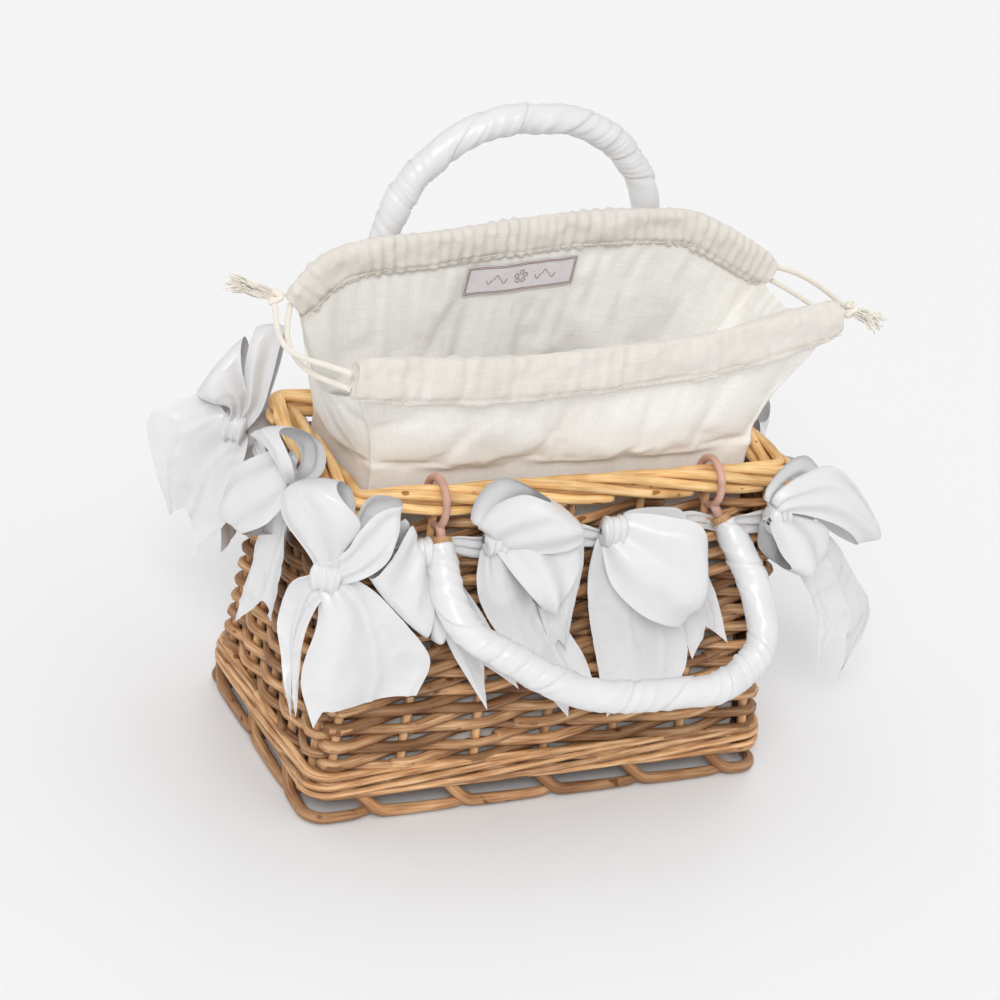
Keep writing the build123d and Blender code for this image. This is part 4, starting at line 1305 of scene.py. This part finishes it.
def leg(foot, target, far):
    """Point on the line from a handle's foot to a target, as far from the pivot as asked."""
    share = (far - foot[1]) / (target[1] - foot[1])
    return (foot[0] + (target[0] - foot[0]) * share, far)


def wrapped_handle(side, seed):
    """Satin ribbon wound over the cane core in slanting turns."""
    lean, sign, corners, radii = HANDLES[side]
    lean = radians(lean)
    pivot = at(0, -RIM_Y if side == "front" else RIM_Y, RIM_Z)
    way = np.array([0, -sin(lean), sign * cos(lean)])
    first = leg((-LOOP_X, LOOP_RING_R), corners[0], WRAP_START)
    last = leg((LOOP_X, LOOP_RING_R), corners[-1], WRAP_START)
    flat = rounded([first] + corners + [last], radii)
    line = np.array(pivot) + flat[:, :1] * np.array([1.0, 0, 0]) + flat[:, 1:] * way
    line = even(line, int(gaps(line).sum() / 0.0008))
    along = distances(line)
    sides = 60
    turn = (np.arange(sides) * 2 * pi / sides)[None, :]
    drift = 0.35 * np.sin(along * 47 + seed) + 0.25 * np.sin(along * 91 + 2 * seed)
    phase = (along[:, None] / WRAP_PITCH + drift[:, None]) - turn / (2 * pi)
    saw = phase - np.floor(phase)
    edge = 0.0007 * (saw - 0.5) - 0.0003 * np.exp(-((saw / 0.06) ** 2))
    coords = np.stack([phase, np.cos(turn) * 0.35 + along[:, None] * 12,
                       np.sin(turn) * 0.35 + along[:, None] * 7], axis=-1)
    sharp = np.abs(wobble(coords * [5.0, 0.7, 0.7], 1.0, seed)) * 1.8
    creases = (1 - sharp).clip(0, 1) ** 2 * 0.0006
    soft = wobble(coords * [1.6, 1.2, 1.2], 1.0, seed + 4) * 0.0008
    ends = np.minimum(along, along[-1] - along)
    taper = WRAP_END_R + (WRAP_R[side] - WRAP_END_R) * smoothstep(0.0, 0.013, ends)
    wrap = Cloth()
    wrap.tube(line, taper[:, None] + edge + creases + soft, sides=sides)
    wrap.build(f"{side}_handle_satin", WRAP_SATIN, body=f"{side}_handle",
               replaces=[f"{side}_handle_wrap"], slot="satin_wrap")


def cad_looks():
    """Finishes of the CAD nodes that stay in view."""
    for side in ("front", "back"):
        paint(f"{side}_handle_core", CANE)
        for hand in ("left", "right"):
            paint(f"{side}_{hand}_loop", LEATHER)


def paint(node, material):
    """Gives a CAD node one material."""
    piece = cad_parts[node]
    piece.data.materials.clear()
    piece.data.materials.append(material)


# ---- studio -------------------------------------------------------------------------------
FLOOR_REACH = 8.0
CAMERA_AZIMUTH = -28.83  # degrees, 0 is in front and minus is to the left
CAMERA_HEIGHT = 26.86  # degrees above the horizon
CAMERA_ROLL = 9.7
CAMERA_DISTANCE = 1.5054
CAMERA_TARGET = (-0.0142, -0.0037, 0.1416)
CAMERA_LENS = 103.4


def soft_sun(name, toward, power, spread_deg):
    """A wide, even light from one direction."""
    data = bpy.data.lights.new(name, "SUN")
    data.energy = power
    data.angle = radians(spread_deg)
    light = bpy.data.objects.new(name, data)
    light.rotation_mode = "QUATERNION"
    light.rotation_quaternion = Vector(toward).to_track_quat("Z", "Y")
    bpy.context.scene.collection.objects.link(light)


def studio():
    """Pale floor, soft lights and the camera."""
    mesh = bpy.data.meshes.new("floor")
    corners = [(-FLOOR_REACH, -FLOOR_REACH, 0), (FLOOR_REACH, -FLOOR_REACH, 0),
               (FLOOR_REACH, FLOOR_REACH, 0), (-FLOOR_REACH, FLOOR_REACH, 0)]
    mesh.from_pydata(corners, [], [(0, 1, 2, 3)])
    pale = Look("pale_floor", Base_Color=(0.93, 0.93, 0.935, 1), Roughness=0.35, Specular_IOR_Level=0.25)
    mesh.materials.append(pale.material)
    floor = bpy.data.objects.new("floor", mesh)
    floor.location.z = cad_low.z - 0.0002
    bpy.context.scene.collection.objects.link(floor)

    world = bpy.data.worlds.new("studio")
    bpy.context.scene.world = world
    sky = Tree(world)
    direction = sky.add("ShaderNodeTexCoord")
    height = sky.add("ShaderNodeSeparateXYZ")
    sky.link(direction.outputs["Generated"], height.inputs["Vector"])
    greys = [(0.0, 0.90), (0.10, 0.84), (0.35, 0.55), (1.0, 0.80)]
    colour = sky.ramp(height.outputs["Z"], *[(place, (grey, grey, grey)) for place, grey in greys])
    sky.link(colour, sky.nodes["Background"].inputs["Color"])
    soft_sun("key", (-0.62, -1.0, 0.95), 1.35, 24)
    soft_sun("back", (0.6, 0.7, 0.9), 0.16, 60)
    bpy.context.scene.view_settings.view_transform = "Standard"

    data = bpy.data.cameras.new("camera")
    data.lens = CAMERA_LENS
    data.sensor_width = 36.0
    data.clip_start, data.clip_end = 0.05, 50
    camera = bpy.data.objects.new("camera", data)
    a, e = radians(CAMERA_AZIMUTH), radians(CAMERA_HEIGHT)
    back = Vector((sin(a) * cos(e), -cos(a) * cos(e), sin(e)))
    camera.location = at(*CAMERA_TARGET) + back * CAMERA_DISTANCE
    camera.rotation_mode = "QUATERNION"
    upright = (-back).to_track_quat("-Z", "Y")
    camera.rotation_quaternion = Quaternion(back, radians(CAMERA_ROLL)) @ upright
    bpy.context.scene.collection.objects.link(camera)
    bpy.context.scene.camera = camera


# ---- build --------------------------------------------------------------------------------
weave_walls()
upright_stakes()
bottom_wale()
top_border()
foot_border()
woven_base()
liner = sew_liner()
gathered_casing("front")
gathered_casing("back")
sewn_label(liner)
drawcords()
ribbon_round_basket()
front_bows()
back_bows()
left_bows()
wrapped_handle("front", 3)
wrapped_handle("back", 8)
cad_looks()
studio()
